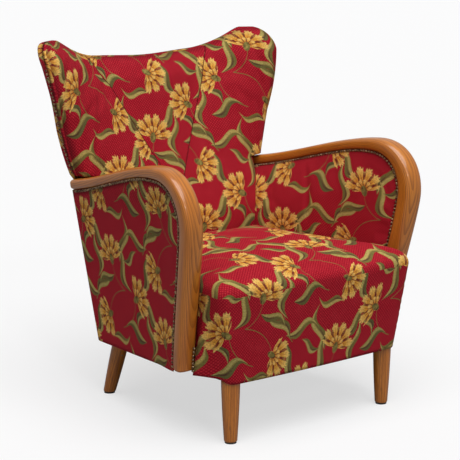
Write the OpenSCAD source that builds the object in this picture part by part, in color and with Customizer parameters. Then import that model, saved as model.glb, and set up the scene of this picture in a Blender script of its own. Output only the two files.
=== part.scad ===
// Fireside chair: show-wood arms, winged back, tight sprung seat on turned legs.
// Millimetres. The chair faces -Y, X runs across it, and it stands on Z = 0.

/* [Frame] */
// Height of the seat frame's underside above the floor
frame_z = 165; // [150:1:185]
// Depth of the seat rails, top to bottom
rail_h = 70; // [55:1:80]
// Thickness of the seat rails
rail_t = 24; // [18:1:28]
// Distance of the side rails inside the seat cover's lower edge
frame_in = 14; // [11:1:22]
// Distance of the front rail's face behind the seat cover's lower edge
frame_front_in = 15; // [14:1:25]
// Distance of the rear corner blocks' rear face behind the origin
frame_rear = 144; // [136:1:150]
// Width and depth of the front corner blocks
front_block = 56; // [50:1:64]
// Rounding of the front blocks' outer corner
block_r = 24; // [20:1:28]
// Width and depth of the rear corner blocks
rear_block = 50; // [46:1:56]
// Clearance between neighbouring pieces
gap = 0.3; // [0.2:0.05:0.4]

/* [Legs] */
// Radius of a front leg where it meets the frame
front_leg_top_r = 24.5; // [22:0.5:25]
// Radius of a rear leg where it meets the frame
rear_leg_top_r = 23; // [20:0.5:24]
// Radius of every leg at the floor
leg_foot_r = 17; // [14:0.5:19]
// Distance of the front legs' centres inside the frame's side
front_leg_in = 15; // [14:1:20]
// Distance of the front legs' centres behind the front rail's face
front_leg_back = 14; // [13:1:18]
// Distance of the rear feet inside the frame's side
rear_foot_in = 19; // [8:1:31]
// Distance of the rear feet behind the frame
rear_foot_out = 56; // [26:1:71]
// Distance of the rear legs' tops inside the frame's side
rear_top_in = 10; // [8:1:18]
// Distance of the rear legs' tops inside the frame's rear
rear_top_back = 18; // [16:1:26]
// Thickness of a glide under a leg
glide_h = 4; // [3:0.5:6]
// Radius of a hanger bolt
bolt_r = 4; // [3:0.5:5]
// Depth of a hanger bolt in the leg, and in the block above it
bolt_reach = 42; // [30:1:50]
// Radial clearance of a hanger bolt in its hole
bolt_clear = 0.2; // [0.1:0.05:0.3]

/* [Arms] */
// Distance of an arm's crest, above the origin, outside the seat cover's lower edge
arm_out = 56; // [54:1:60]
// Height of the arm's centreline at its crest
arm_top_z = 682; // [668:1:700]
// Height of the arm's lower end
arm_foot_z = 184; // [178:1:190]
// Distance of the arm's centreline behind the seat cover's front, at its furthest
arm_front_in = 47; // [38:1:58]
// Reach of the arm's rear end behind the frame
arm_rear_out = 138; // [132:1:142]
// Height of the arm's section along the rail
arm_rail_h = 28; // [24:1:32]
// Depth of the arm's section round the front bend
arm_bend_h = 47; // [40:1:50]
// Depth of the arm's section at its lower end
arm_foot_h = 38; // [34:1:44]
// Width of the arm's section at the rear end
arm_rear_w = 47; // [42:1:48]
// Width of the arm's section round the front bend
arm_bend_w = 57; // [50:1:58]
// Width of the arm's section at the lower end
arm_foot_w = 54; // [48:1:56]
// Rounding of the arm's two ends
arm_cap_r = 7; // [4:0.5:9]

/* [Seat] */
// Height of the seat cover's lower edge
seat_low_z = 160; // [146:1:164]
// Height of the seat's shoulder, where its sides turn over
seat_edge_z = 376; // [366:1:384]
// Rise of the rolled edge above the shoulder
seat_roll_h = 44; // [36:1:48]
// Depth of the rolled edge in plan
seat_roll_d = 38; // [30:1:42]
// Rise of the crown above the rolled edge
seat_crown = 30; // [20:1:40]
// Half width of the seat's front at its lower edge
seat_low_half_w = 290; // [270:1:310]
// Flare of each side of the seat's front, from its lower edge to its shoulder
seat_flare = 34; // [26:1:38]
// Distance of the seat's sides beside the uprights outside its lower edge
seat_mid_out = 20; // [14:1:21]
// Distance of the seat's rear corners inside its front's lower edge
seat_rear_in = 58; // [56:1:70]
// Distance of the seat's front ahead of the origin, at its lower edge
seat_low_front = 371; // [355:1:385]
// Lean of the seat's front, from its lower edge to its shoulder
seat_lean = 19; // [13:1:25]
// Bow of the seat's front edge in plan
seat_bow = 7; // [3:0.5:12]
// Distance of the seat's rear edge behind the frame
seat_rear_out = 6; // [4:1:10]
// Radius of the seat's front corners in plan
seat_corner_r = 30; // [26:1:34]

/* [Back] */
// Height of the back's top edge in the middle
back_top_z = 903; // [880:1:925]
// Rise of the ears above the middle of the top edge
ear_rise = 62; // [45:1:75]
// Radius of the ears in front view
ear_r = 60; // [45:1:65]
// Distance of the back's sides between the arms inside the seat cover's lower edge
back_low_in = 4; // [3:0.5:8]
// Widening of each side of the back just above the arms
back_waist_out = 30; // [24:1:36]
// Further widening of each side of the back up to the ears
ear_out = 74; // [60:1:84]
// Height at which the back widens over the arms
back_waist_z = 605; // [603:1:615]
// Thickness of the back at the waist and below
back_low_t = 78; // [72:1:84]
// Thickness of the back at the ears
back_top_t = 50; // [46:1:56]
// Distance of the back's inside face behind the frame, at the height of the arm crest
back_set = 140; // [136:1:148]
// Puff of the back's stuffing
back_puff = 9; // [5:0.5:12]
// Swell of the back at the loins
back_swell = 14; // [8:1:20]
// Height of the fullest part of the swell
swell_z = 470; // [440:5:500]
// Height over which the swell fades
swell_reach = 130; // [100:5:160]
// Lowest point of the inside back, tucked behind the seat
back_low_z = 384; // [370:1:400]
// Distance of the folds where the wings begin inside the back's sides
crease_in = 176; // [150:1:200]
// Height at which that distance is taken
crease_z = 730; // [700:5:760]
// Width over which a fold is rounded
fold_blend = 35; // [20:1:50]
// Depth of the rounded rim round the back
rim_r = 27; // [20:1:32]
// Distance of the outside back behind the frame, at its lower edge
outside_low_out = 46; // [42:1:56]
// Distance behind the frame at which the rear corner starts to turn, at its lower edge
corner_out = 6; // [4:1:10]

/* [Back frame] */
// Width of a back post
post_w = 44; // [36:1:48]
// Depth of a back post
post_depth = 22; // [18:1:24]
// Distance of the back posts behind the middle of the back's thickness
post_set = 10; // [8:0.5:11]
// Height of the back posts' tops
post_top_z = 890; // [860:1:894]
// Lean of the back posts towards the middle, at their tops
post_lean = 42; // [32:1:54]
// Height of the back's top rail, at its lower edge
back_rail_z = 840; // [820:1:848]
// Depth of the back's two rails, top to bottom
back_rail_h = 40; // [30:1:44]
// Clearance between the layers over the back's curved frame
layer_gap = 1.2; // [0.6:0.1:1.5]
// Width of the back stile beside each post
stile_w = 40; // [34:1:42]
// Depth of the side rails, top to bottom
side_rail_h = 30; // [24:1:34]

/* [Covers] */
// Thickness of the cover cloth
cloth_t = 2; // [1.5:0.25:2.5]
// Distance of the outer side cover outside the arm's middle plane
side_out = 14; // [12:0.5:16]
// Distance of the inner side lining inside the arm's middle plane
side_in = 14; // [12:0.5:16]
// Radius of the rear corner of the side cover
corner_r = 38; // [34:1:42]
// Height of the outer side cover's lower edge, at the front
side_low_front_z = 180; // [176:1:184]
// Height of the outer side cover's lower edge, at the rear
side_low_rear_z = 166; // [162:1:172]
// Thickness of the inner arm pad along the arm
arm_pad_t = 12; // [9:0.5:16]
// Extra thickness of the inner arm pad, low down at the back
arm_pad_swell = 44; // [36:1:48]
// Spacing of the decorative nails
nail_pitch = 10; // [9:0.5:16]
// Radius of a nail's head
nail_r = 3.8; // [3:0.1:4.2]
// Height of a nail's head
nail_h = 2.2; // [1.5:0.1:3]

/* [Springing] */
// Height of a seat spring
spring_h = 170; // [150:1:176]
// Radius of a seat spring's coil, at its ends
spring_r = 42; // [34:1:46]
// Radius of a seat spring's wire
spring_wire_r = 2; // [1.5:0.1:2.4]
// Spacing of the seat springs along the seat
spring_pitch = 150; // [130:1:160]
// Distance of the outer springs' coils inside the seat's rear corners
spring_in = 40; // [30:1:60]
// Width of a webbing strap
web_w = 50; // [40:1:60]
// Thickness of a webbing strap
web_t = 1.5; // [1:0.25:2]

/* [Hidden] */
$fn = 48;
// Half widths, all set from the seat cover's lower edge
frame_half_w = seat_low_half_w - frame_in;
front_leg_x = frame_half_w - front_leg_in;
rear_foot_x = frame_half_w - rear_foot_in;
rear_top_x = frame_half_w - rear_top_in;
arm_half_w = seat_low_half_w + arm_out;
seat_top_half_w = seat_low_half_w + seat_flare;
seat_mid_half_w = seat_low_half_w + seat_mid_out;
seat_rear_half_w = seat_low_half_w - seat_rear_in;
back_low_half_w = seat_low_half_w - back_low_in;
back_waist_half_w = back_low_half_w + back_waist_out;
back_top_half_w = back_waist_half_w + ear_out;
post_top_x = frame_half_w - post_w / 2 - post_lean;
crease_half_w = back_low_half_w - crease_in;
spring_across = seat_rear_half_w - spring_in - spring_r;
// Distances ahead of the origin, set from the seat cover's front, and behind it, set from the frame
frame_front = seat_low_front - frame_front_in;
front_leg_y = frame_front - front_leg_back;
arm_front = seat_low_front - arm_front_in;
seat_top_front = seat_low_front + seat_lean;
rear_foot_y = frame_rear + rear_foot_out;
rear_top_y = frame_rear - rear_top_back;
arm_rear = frame_rear + arm_rear_out;
seat_rear = frame_rear + seat_rear_out;
back_face_y = frame_rear + back_set;
outside_low_y = frame_rear + outside_low_out;
corner_y0 = frame_rear + corner_out;

// Colours
beech = "#d9b98a";
show_wood = "#a5642d";
cloth = "#a51428";
hessian_tan = "#b79a6b";
stuffing = "#e6dcc4";
steel = "#8d9095";
nail_brown = "#3a2a18";
dark = "#2b2622";

// Slopes of the arms' plane: its lean outwards with height, and its toe-in towards the back
lean_share = 0.0587;
toe_share = 0.0948;
// The arm's centreline: three cubic arcs, each point a share of its reach and of its rise
arm_curve_shares = [[[1, 0.795], [0.65, 0.859], [0.411, 1], [0.196, 1]],
    [[0.196, 1], [0.073, 1], [0, 0.89], [0, 0.759]],
    [[0, 0.759], [0, 0.643], [0.125, 0.08], [0.114, 0]]];
// Where along the arm its section thickens into the bend, as shares of its length
arm_thick_shares = [0.36, 0.62];
// Squareness of the arm's section, 1 for an ellipse
arm_square_share = 0.62;
// Rake of the back's inside face
rake_share = 0.3235;
// Rake of the side's rear corner
corner_rake_share = 0.23;
// Forward fold of the wings: their slope in plan, low down, in the middle and at the top
fold_slope_shares = [0.05, 0.13, 0.27, 0.6];
// Spread of the two folds with height
fold_spread_share = 0.52;

arm_steps = 12;
arm_sides = 16;
arm_reach = arm_front + arm_rear;
arm_rise = arm_top_z - arm_foot_z;
web_z = frame_z - 2 * web_t;
rail_top_z = frame_z + rail_h;

// Position on a cubic arc, and the arms' middle plane
function bez(p, t) = p[0] * pow(1 - t, 3) + 3 * p[1] * t * pow(1 - t, 2)
    + 3 * p[2] * t * t * (1 - t) + p[3] * t * t * t;
function side_x(y, z) = arm_half_w + lean_share * (z - arm_top_z) - toe_share * y;
function clamp1(x) = min(1, max(0, x));
function ramp(a, b, x) = let (t = clamp1((x - a) / (b - a))) t * t * (3 - 2 * t);
function mix(a, b, t) = a + (b - a) * t;
function flat(rows) = [for (r = rows) for (p = r) p];
function power(x, k) = sign(x) * pow(abs(x), k);

// A closed wall between two grids of points with the same rows and columns
module wall(outer, inner) {
    n = len(outer);
    m = len(outer[0]);
    o = n * m;
    last = m - 2;
    faces = concat(
        [for (i = [0 : n - 2]) for (j = [0 : last]) let (k = j + 1)
            each [[i * m + j, (i + 1) * m + k, i * m + k], [i * m + j, (i + 1) * m + j, (i + 1) * m + k]]],
        [for (i = [0 : n - 2]) for (j = [0 : last]) let (k = j + 1)
            each [[o + i * m + j, o + i * m + k, o + (i + 1) * m + k],
                [o + i * m + j, o + (i + 1) * m + k, o + (i + 1) * m + j]]],
        [for (j = [0 : last]) let (k = j + 1)
            each [[j, k, o + k], [j, o + k, o + j]]],
        [for (j = [0 : last]) let (k = j + 1, e = (n - 1) * m)
            each [[e + j, o + e + k, e + k], [e + j, o + e + j, o + e + k]]],
        [for (i = [0 : n - 2])
            each [[i * m, o + i * m, o + (i + 1) * m], [i * m, o + (i + 1) * m, (i + 1) * m]]],
        [for (i = [0 : n - 2]) let (a = i * m + m - 1, b = a + m)
            each [[a, b, o + b], [a, o + b, o + a]]]);
    polyhedron(concat(flat(inner), flat(outer)), faces);
}

// A closed tube through rings of points, capped flat at both ends
module tube(rings) {
    n = len(rings);
    m = len(rings[0]);
    faces = concat(
        [for (i = [0 : n - 2]) for (j = [0 : m - 1]) let (k = (j + 1) % m)
            each [[i * m + j, (i + 1) * m + k, i * m + k], [i * m + j, (i + 1) * m + j, (i + 1) * m + k]]],
        [[for (j = [0 : m - 1]) j]],
        [[for (j = [m - 1 : -1 : 0]) (n - 1) * m + j]]);
    polyhedron(flat(rings), faces);
}

module mirrored(side) {
    if (side < 0) mirror([1, 0, 0]) children();
    else children();
}

// A board in the side of the chair: an outline in side view between two faces.
// A face is either at a fixed distance from the middle or follows the arms' plane.
module side_board(outline, fixed_in, off_in, off_out) {
    n = len(outline);
    inner = [for (p = outline) [fixed_in > 0 ? fixed_in : side_x(p[0], p[1]) + off_in, p[0], p[1]]];
    outer = [for (p = outline) [side_x(p[0], p[1]) + off_out, p[0], p[1]]];
    tube([inner, outer]);
}

// The arm's centreline as points in side view, and its length up to each point
function arm_point(c, t) = let (p = bez(c, t)) [p[0] * arm_reach - arm_front, arm_foot_z + p[1] * arm_rise];
arm_pts = [for (k = [0 : 2]) for (i = [0 : arm_steps - (k < 2 ? 1 : 0)])
    arm_point(arm_curve_shares[k], i / arm_steps)];
arm_n = len(arm_pts);
arm_s = [for (i = 0, s = 0; i < arm_n;
    s = s + (i + 1 < arm_n ? norm(arm_pts[i + 1] - arm_pts[i]) : 0), i = i + 1) s];
arm_len = arm_s[arm_n - 1];
arm_y_table = [for (i = [0 : arm_n - 1]) [arm_s[i], arm_pts[i][0]]];
arm_z_table = [for (i = [0 : arm_n - 1]) [arm_s[i], arm_pts[i][1]]];
function arm_at(s) = [lookup(s, arm_y_table), lookup(s, arm_z_table)];
function arm_dir(s) = let (d = arm_len / 100, v = arm_at(min(s + d, arm_len)) - arm_at(max(s - d, 0)))
    v / norm(v);
// Direction from the wood towards the covered panel
function arm_side(s) = let (t = arm_dir(s)) [-t[1], t[0]];
function arm_h(s) = let (u = s / arm_len, a = arm_thick_shares[0], b = arm_thick_shares[1])
    u < b ? mix(arm_rail_h, arm_bend_h, ramp(a, b, u)) : mix(arm_bend_h, arm_foot_h, ramp(b, 1, u));
function arm_w(s) = let (u = s / arm_len, b = arm_thick_shares[1])
    u < b ? mix(arm_rear_w, arm_bend_w, ramp(0, b, u)) : mix(arm_bend_w, arm_foot_w, ramp(b, 1, u));
// The wood's edge towards the panel, and that edge's distance behind the origin at a height
function arm_edge(s, away) = arm_at(s) + arm_side(s) * (arm_h(s) / 2 + away);
post_table = [for (i = [arm_n - 1 : -1 : 2 * arm_steps]) let (e = arm_edge(arm_s[i], gap)) [e[1], e[0]]];
function upright_y(z) = lookup(z, post_table);

// Ring of the arm's section, its two faces following the arms' plane
function arm_ring(c, n, h, w) = [for (k = [0 : arm_sides - 1])
    let (a = -360 * k / arm_sides, b = power(sin(a), arm_square_share) * h / 2,
        y = c[0] + n[0] * b, z = c[1] + n[1] * b)
    [side_x(y, z) + power(cos(a), arm_square_share) * w / 2, y, z]];

module arm(side) {
    cap = [0, 30, 60];
    last = arm_len;
    rear = [for (a = cap) let (d = arm_cap_r * (1 - cos(a)), k = 2 * arm_cap_r * (1 - sin(a)))
        arm_ring(arm_at(0) + arm_dir(0) * d, arm_side(0), arm_h(0) - k, arm_w(0) - k)];
    body = [for (i = [0 : arm_n - 1]) let (s = arm_s[i])
        if (s > arm_cap_r && s < last - arm_cap_r)
            arm_ring(arm_pts[i], arm_side(s), arm_h(s), arm_w(s))];
    foot = [for (i = [2 : -1 : 0])
        let (a = cap[i], d = arm_cap_r * (1 - cos(a)), k = 2 * arm_cap_r * (1 - sin(a)))
        arm_ring(arm_at(last) - arm_dir(last) * d, arm_side(last), arm_h(last) - k, arm_w(last) - k)];
    color(show_wood) mirrored(side) tube(concat(rear, body, foot));
}

// Seat frame
front_in = frame_front - rail_t;
rear_in = frame_rear - rail_t;
dowel_r = rail_t / 6;
dowel_reach = rail_t * 2 / 3;
cut = rail_t;

module bar(lo, hi) { translate(lo) cube(hi - lo); }

// Dowels that join the rails to the corner blocks, two at each end
module dowels(r, reach) {
    for (side = [-1, 1], k = [1, 3]) {
        z = frame_z + rail_h * k / 4;
        translate([side * (frame_half_w - front_block), -frame_front + rail_t / 2, z])
            rotate([0, 90, 0]) cylinder(h = 2 * reach, r = r, center = true);
        translate([side * (frame_half_w - rear_block), frame_rear - rail_t / 2, z])
            rotate([0, 90, 0]) cylinder(h = 2 * reach, r = r, center = true);
        for (y = [front_block - frame_front, frame_rear - rear_block])
            translate([side * (frame_half_w - rail_t / 2), y, z])
                rotate([90, 0, 0]) cylinder(h = 2 * reach, r = r, center = true);
    }
}
module dowel_holes() { dowels(dowel_r + bolt_clear, dowel_reach + gap); }

module front_seat_rail() {
    x = frame_half_w - front_block - gap;
    color(beech) difference() {
        bar([-x, -frame_front, frame_z], [x, -front_in, rail_top_z]);
        dowel_holes();
    }
}
module rear_seat_rail() {
    x = frame_half_w - rear_block - gap;
    color(beech) difference() {
        bar([-x, rear_in, frame_z], [x, frame_rear, rail_top_z]);
        dowel_holes();
    }
}
module side_seat_rail(side) {
    a = front_block - frame_front + gap;
    b = frame_rear - rear_block - gap;
    color(beech) difference() {
        mirrored(side) bar([frame_half_w - rail_t, a, frame_z], [frame_half_w, b, rail_top_z]);
        dowel_holes();
    }
}
module front_corner_block() {
    x = frame_half_w - front_block;
    y = front_block - frame_front;
    bar([x, -frame_front, frame_z], [frame_half_w - block_r, y, rail_top_z]);
    bar([x, block_r - frame_front, frame_z], [frame_half_w, y, rail_top_z]);
    translate([frame_half_w - block_r, block_r - frame_front, frame_z]) cylinder(h = rail_h, r = block_r);
}
module corner_blocks() {
    color(beech) difference() {
        for (side = [-1, 1]) mirrored(side) {
            front_corner_block();
            bar([frame_half_w - rear_block, frame_rear - rear_block, frame_z],
                [frame_half_w, frame_rear, rail_top_z]);
        }
        dowel_holes();
        bolts(bolt_r + bolt_clear, bolt_reach + gap);
    }
}
module frame_dowels() { color(beech) dowels(dowel_r, dowel_reach); }

// Legs. A rear leg leans from its foot to its top, and a level cut through it is round.
rear_sides = 24;
rear_axis = [rear_top_x - rear_foot_x, rear_top_y - rear_foot_y];
function rear_leg_ring(z, r) = let (s = z / frame_z) [for (k = [0 : rear_sides - 1])
    let (a = -360 * k / rear_sides)
        [rear_foot_x + rear_axis[0] * s + r * cos(a), rear_foot_y + rear_axis[1] * s + r * sin(a), z]];
module bolts(r, reach) {
    for (side = [-1, 1]) {
        translate([side * front_leg_x, -front_leg_y, frame_z]) cylinder(h = 2 * reach, r = r, center = true);
        translate([side * rear_top_x, rear_top_y, frame_z]) cylinder(h = 2 * reach, r = r, center = true);
    }
}
module leg_bolts() { color(steel) bolts(bolt_r, bolt_reach); }
module front_leg(side) {
    color(show_wood) difference() {
        translate([side * front_leg_x, -front_leg_y, glide_h])
            cylinder(h = frame_z - glide_h, r1 = leg_foot_r, r2 = front_leg_top_r);
        bolts(bolt_r + bolt_clear, bolt_reach + gap);
    }
}
module rear_leg(side) {
    color(show_wood) difference() {
        mirrored(side) tube([rear_leg_ring(glide_h, leg_foot_r), rear_leg_ring(frame_z, rear_leg_top_r)]);
        bolts(bolt_r + bolt_clear, bolt_reach + gap);
    }
}
module leg_glides() {
    shift = glide_h / frame_z;
    color(dark) for (side = [-1, 1]) {
        translate([side * front_leg_x, -front_leg_y, 0]) cylinder(h = glide_h, r = leg_foot_r - glide_h / 2);
        translate([side * (rear_foot_x + rear_axis[0] * shift), rear_foot_y + rear_axis[1] * shift, 0])
            cylinder(h = glide_h, r = leg_foot_r - glide_h / 2);
    }
}

// The back. Its inside face rakes back, and folds forward into the wings along two lines.
ear_z = back_top_z + ear_rise;
low_rise_share = 0.13;
rise_shares = [0.42, 0.92];
rim_z_share = 0.95;
edge_power_share = 1.4;
ear_round_share = 0.85;
function back_face(z) = back_face_y + rake_share * (z - arm_top_z)
    - back_swell * exp(-pow((z - swell_z) / swell_reach, 2));
function fold_slope(z) = lookup(z, [[back_low_z, fold_slope_shares[0]], [back_waist_z, fold_slope_shares[1]],
    [crease_z, fold_slope_shares[2]], [back_top_z, fold_slope_shares[3]]]);
function fold_x(z) = max(fold_blend, crease_half_w + fold_spread_share * (z - crease_z));
function fold_past(x, z) = abs(x) - fold_x(z);
function fold_y(x, z) = let (q = fold_past(x, z), r = fold_blend)
    fold_slope(z) * (q < -r ? 0 : q > r ? q : pow(q + r, 2) / (4 * r));
function fold_tilt(x, z) = let (q = fold_past(x, z), r = fold_blend)
    fold_slope(z) * (q < -r ? 0 : q > r ? 1 : (q + r) / (2 * r));
function back_t(z) = mix(back_low_t, back_top_t, ramp(back_waist_z, ear_z - ear_rise * 2, z));
function back_w(z) = let (t = clamp1((z - back_waist_z) / (ear_z - back_waist_z)),
    q = max(0, z - (ear_z - ear_r)) / ear_r)
    z < back_waist_z ? back_low_half_w
        : mix(back_waist_half_w, back_top_half_w, 1 - pow(1 - t, edge_power_share))
            - ear_round_share * ear_r * (1 - sqrt(max(0, 1 - q * q)));
function top_z(s) = back_top_z + ear_rise * (low_rise_share * ramp(0, 0.5, abs(s))
    + (1 - low_rise_share) * ramp(rise_shares[0], rise_shares[1], abs(s)));
// Point at a depth behind the inside face, measured square to it in plan
function back_deep(x, z, k) = let (m = fold_tilt(x, z), c = 1 / sqrt(1 + m * m))
    [x + sign(x) * m * c * k, back_face(z) - fold_y(x, z) + c * k, z];
// Point of the middle surface, moved back by a distance
function back_mid(x, z, off) = back_deep(x, z, back_t(z) / 2 + off);
// Point of the padded front (face -1) or of the outside (face 1) where the half width is w
function back_skin(s, z, w, face, inset) = let (x = s * (w - inset),
    d = min((w - inset) * (1 - abs(s)), max(0, top_z(s) - inset - z) * rim_z_share),
    rim = sqrt(1 - pow(1 - min(1, d / rim_r), 2)), h = back_t(z) / 2,
    puff = face < 0 ? back_puff * ramp(0, back_low_t, d) : 0)
    back_deep(x, z, h + face * (gap + (h - inset) * rim + puff));
// Rows of a cover: even up to the arms, where it widens, then closer together towards the top.
// A cell is the point's share of the half width, its height and that half width.
back_low_rows = 4;
back_high_rows = 10;
back_rows = back_low_rows + back_high_rows + 1;
back_cols = 24;
function back_col(j) = sin(90 * (2 * j / back_cols - 1));
function back_cell(i, j, inset) = let (s = back_col(j), k = i - back_low_rows - 1,
    z = k < 0 ? mix(back_low_z, back_waist_z - gap + inset, i / back_low_rows)
        : mix(back_waist_z + gap + inset, top_z(s) - inset, sin(90 * k / back_high_rows)))
    [s, z, k < 0 ? back_low_half_w : back_w(z)];
function back_grid(face, inset, trim) = [for (i = [0 : back_rows - trim]) [for (j = [trim : back_cols - trim])
    let (c = back_cell(i, j, inset)) back_skin(c[0], c[1], c[2], face, inset)]];

module inside_back_cover() {
    color(cloth) wall(back_grid(-1, cloth_t, 0), back_grid(-1, 0, 0));
}
// Under the inside cover lie the stuffing, a hessian and, over the posts, two layers of webbing
hessian_t = web_t;
hessian_front = post_depth / 2 - post_set + 3 * layer_gap + 2 * web_t + hessian_t;
function under_back(front) = [for (i = [0 : back_rows - 1]) [for (j = [1 : back_cols - 1])
    let (c = back_cell(i, j, cloth_t + gap)) back_mid(c[0] * (c[2] - cloth_t - gap), c[1], -front)]];
module back_pad() {
    color(stuffing) wall(under_back(hessian_front + gap), back_grid(-1, cloth_t + gap, 1));
}
module back_hessian() {
    color(hessian_tan) wall(under_back(hessian_front - hessian_t), under_back(hessian_front));
}

// The rear corner of the side rakes back from its lower edge
function corner_y(z) = corner_y0 + corner_rake_share * (z - seat_low_z);
function corner_x(z) = side_x(corner_y(z), z) + side_out - corner_r;
arm_rear_z = arm_pts[0][1];
outside_top_z = arm_rear_z - arm_rail_h / 2 - gap;
// Outside back: between the side corners below the arms, then over the back above them
function outside_low_point(s, t, inset) = let (z = mix(side_low_rear_z, outside_top_z, t),
    e = corner_y(z) + corner_r, m = mix(outside_low_y, back_face(back_waist_z) + back_low_t, t))
    [s * (corner_x(z) - gap), mix(e, max(e, m), 1 - s * s) - inset, z];
module outside_back_cover() {
    function grid(inset) = [for (i = [0 : back_rows]) [for (j = [0 : back_cols])
        let (c = back_cell(i, j, inset), n = back_low_rows)
        i < n ? outside_low_point(back_col(j), i / (n - 1), inset) : back_skin(c[0], c[1], c[2], 1, inset)]];
    color(cloth) wall(grid(gap), grid(cloth_t + gap));
}

// Posts, rails and wing boards that carry the back, all set from its middle surface
function post_x(z) = mix(frame_half_w - post_w / 2, post_top_x,
    clamp1((z - frame_z) / (post_top_z - frame_z)));
module back_post(side) {
    a = post_w / 2;
    b = post_depth / 2;
    n = back_high_rows + 2;
    foot = [for (z = [frame_z, rail_top_z]) let (x = post_x(z), y = frame_rear + gap + b)
        [[x - a, y - b, z], [x + a, y - b, z], [x + a, y + b, z], [x - a, y + b, z]]];
    upper = [for (i = [0 : n]) let (z = mix(back_low_z, post_top_z, i / n), x = post_x(z))
        [back_mid(x - a, z, post_set - b), back_mid(x + a, z, post_set - b),
            back_mid(x + a, z, post_set + b), back_mid(x - a, z, post_set + b)]];
    color(beech) mirrored(side) tube(concat(foot, upper));
}
module back_rail(z0, z1) {
    n = 12;
    b = rail_t / 4;
    rows = [for (i = [0 : n]) let (p = 2 * i / n - 1,
        xa = p * (post_x(z0) - post_w / 2 - 2 * gap), xb = p * (post_x(z1) - post_w / 2 - 2 * gap))
        [back_mid(xa, z0, post_set - b), back_mid(xa, z0, post_set + b),
            back_mid(xb, z1, post_set + b), back_mid(xb, z1, post_set - b)]];
    color(beech) tube(rows);
}
module wing_frame(side) {
    n = back_high_rows;
    a = post_set - post_depth / 2;
    b = a + rail_t * 2 / 3;
    z0 = back_waist_z + cloth_t + 3 * gap;
    rows = [for (i = [0 : n]) let (z = mix(z0, post_top_z, i / n),
        xa = post_x(z) + post_w / 2 + 2 * gap, xb = back_w(z) - rim_r)
        [back_mid(xa, z, a), back_mid(xb, z, a), back_mid(xb, z, b), back_mid(xa, z, b)]];
    color(beech) mirrored(side) tube(rows);
}
// A cloth or strap stretched over the front of the posts, at a distance ahead of the middle
module back_sheet(x0, x1, z0, z1, front, t, n, m) {
    function grid(off) = [for (i = [0 : n]) [for (j = [0 : m])
        let (z = mix(z0, z1, i / n), x = mix(x0, x1, j / m)) back_mid(x, z, -off)]];
    wall(grid(front - t), grid(front));
}
module back_webbing() {
    a = hessian_front - hessian_t - layer_gap;
    color(hessian_tan) {
        for (k = [0 : 3]) let (z = mix(back_low_z + rail_h, back_rail_z - rail_h, k / 3), x = post_x(z + web_w))
            back_sheet(-x, x, z - web_w / 2, z + web_w / 2, a, web_t, 1, back_cols / 2);
        for (k = [-1 : 1]) let (x = k * post_x(back_rail_z) / 2)
            back_sheet(x - web_w / 2, x + web_w / 2, back_low_z, back_rail_z + back_rail_h / 2,
                a - web_t - layer_gap, web_t, back_high_rows, 1);
    }
}
// Sides. Each column of a side cover runs from a lower line up to the wood's edge.
side_cols = 14;
side_rows = 7;
edge_gap = 3 * gap;
corner_cols = 5;
corner_top_y = corner_y(outside_top_z);
corner_s = arm_rear - corner_top_y;
// Columns follow the wood from its lower end to the rear corner
function side_s(j) = mix(arm_len - arm_cap_r, corner_s, j / side_cols);
function side_low(j) = let (t = j / side_cols)
    [mix(upright_y(side_low_front_z + arm_cap_r), corner_y(side_low_rear_z), t),
        mix(side_low_front_z, side_low_rear_z, t)];
function outer_grid(inset) = concat(
    [for (j = [0 : side_cols]) let (b = arm_edge(side_s(j), edge_gap), a = side_low(j))
        [for (i = [0 : side_rows]) let (p = mix(a, b, i / side_rows))
            [side_x(p[0], p[1]) + side_out - inset, p[0], p[1]]]],
    [for (j = [1 : corner_cols]) let (a = 90 * j / corner_cols, r = corner_r - inset)
        [for (i = [0 : side_rows]) let (z = mix(side_low_rear_z, outside_top_z, i / side_rows))
            [corner_x(z) + r * cos(a), corner_y(z) + r * sin(a), z]]]);
module outside_arm_cover(side) {
    color(cloth) mirrored(side) wall(outer_grid(0), outer_grid(cloth_t));
}

// Inside of an arm: lining, pad and cover, between the upright, the seat and the back
pad_low_z = back_low_z - rail_h / 2;
pad_min_t = cloth_t * 1.5;
pad_power_shares = [4, 3];
pad_share = 0.95;
function arm_pad_depth(y, q) = side_in + gap + pad_min_t + arm_pad_t * (1 - pow(q, pad_power_shares[0]))
    + arm_pad_swell * ramp(-arm_front, frame_rear + rear_block, y) * (1 - pow(q, pad_power_shares[1]));
function pad_rear_y(z) = back_skin(pad_share, z, back_low_half_w, -1, 0)[1] - back_puff - cloth_t;
pad_s0 = arm_rear - pad_rear_y(outside_top_z);
pad_foot_share = 0.79;
pad_s1 = arm_len * pad_foot_share;
function inner_low(t) = [mix(upright_y(pad_low_z) + edge_gap, pad_rear_y(pad_low_z), t), pad_low_z];
function inner_point(t, q, away, deep) = let (b = arm_edge(mix(pad_s1, pad_s0, t), edge_gap),
    p = mix(inner_low(t), b, q))
    [side_x(p[0], p[1]) - (deep ? arm_pad_depth(p[0], q) : side_in) - away, p[0], p[1]];
function inner_rows(away, deep) = [for (j = [0 : side_cols]) [for (i = [0 : side_rows])
    inner_point(j / side_cols, i / side_rows, away, deep)]];
module arm_hessian(side) {
    color(hessian_tan) mirrored(side) wall(inner_rows(-hessian_t - gap, false), inner_rows(-gap, false));
}
module arm_pad(side) {
    color(stuffing) mirrored(side) wall(inner_rows(gap, false), inner_rows(0, true));
}
module inside_arm_cover(side) {
    color(cloth) mirrored(side) wall(inner_rows(gap, true), inner_rows(gap + cloth_t, true));
}
stile_x = back_low_half_w + back_low_t * fold_slope_shares[1] / 2 + gap;
stile_ahead = stile_w * 2 / 5;
stile_top = arm_edge(arm_rear - corner_y(outside_top_z) + stile_ahead, gap);
function stile_front(z) = let (y0 = corner_y(arm_foot_z) - stile_ahead)
    mix(y0, stile_top[0], (z - arm_foot_z) / (stile_top[1] - arm_foot_z));
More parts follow.
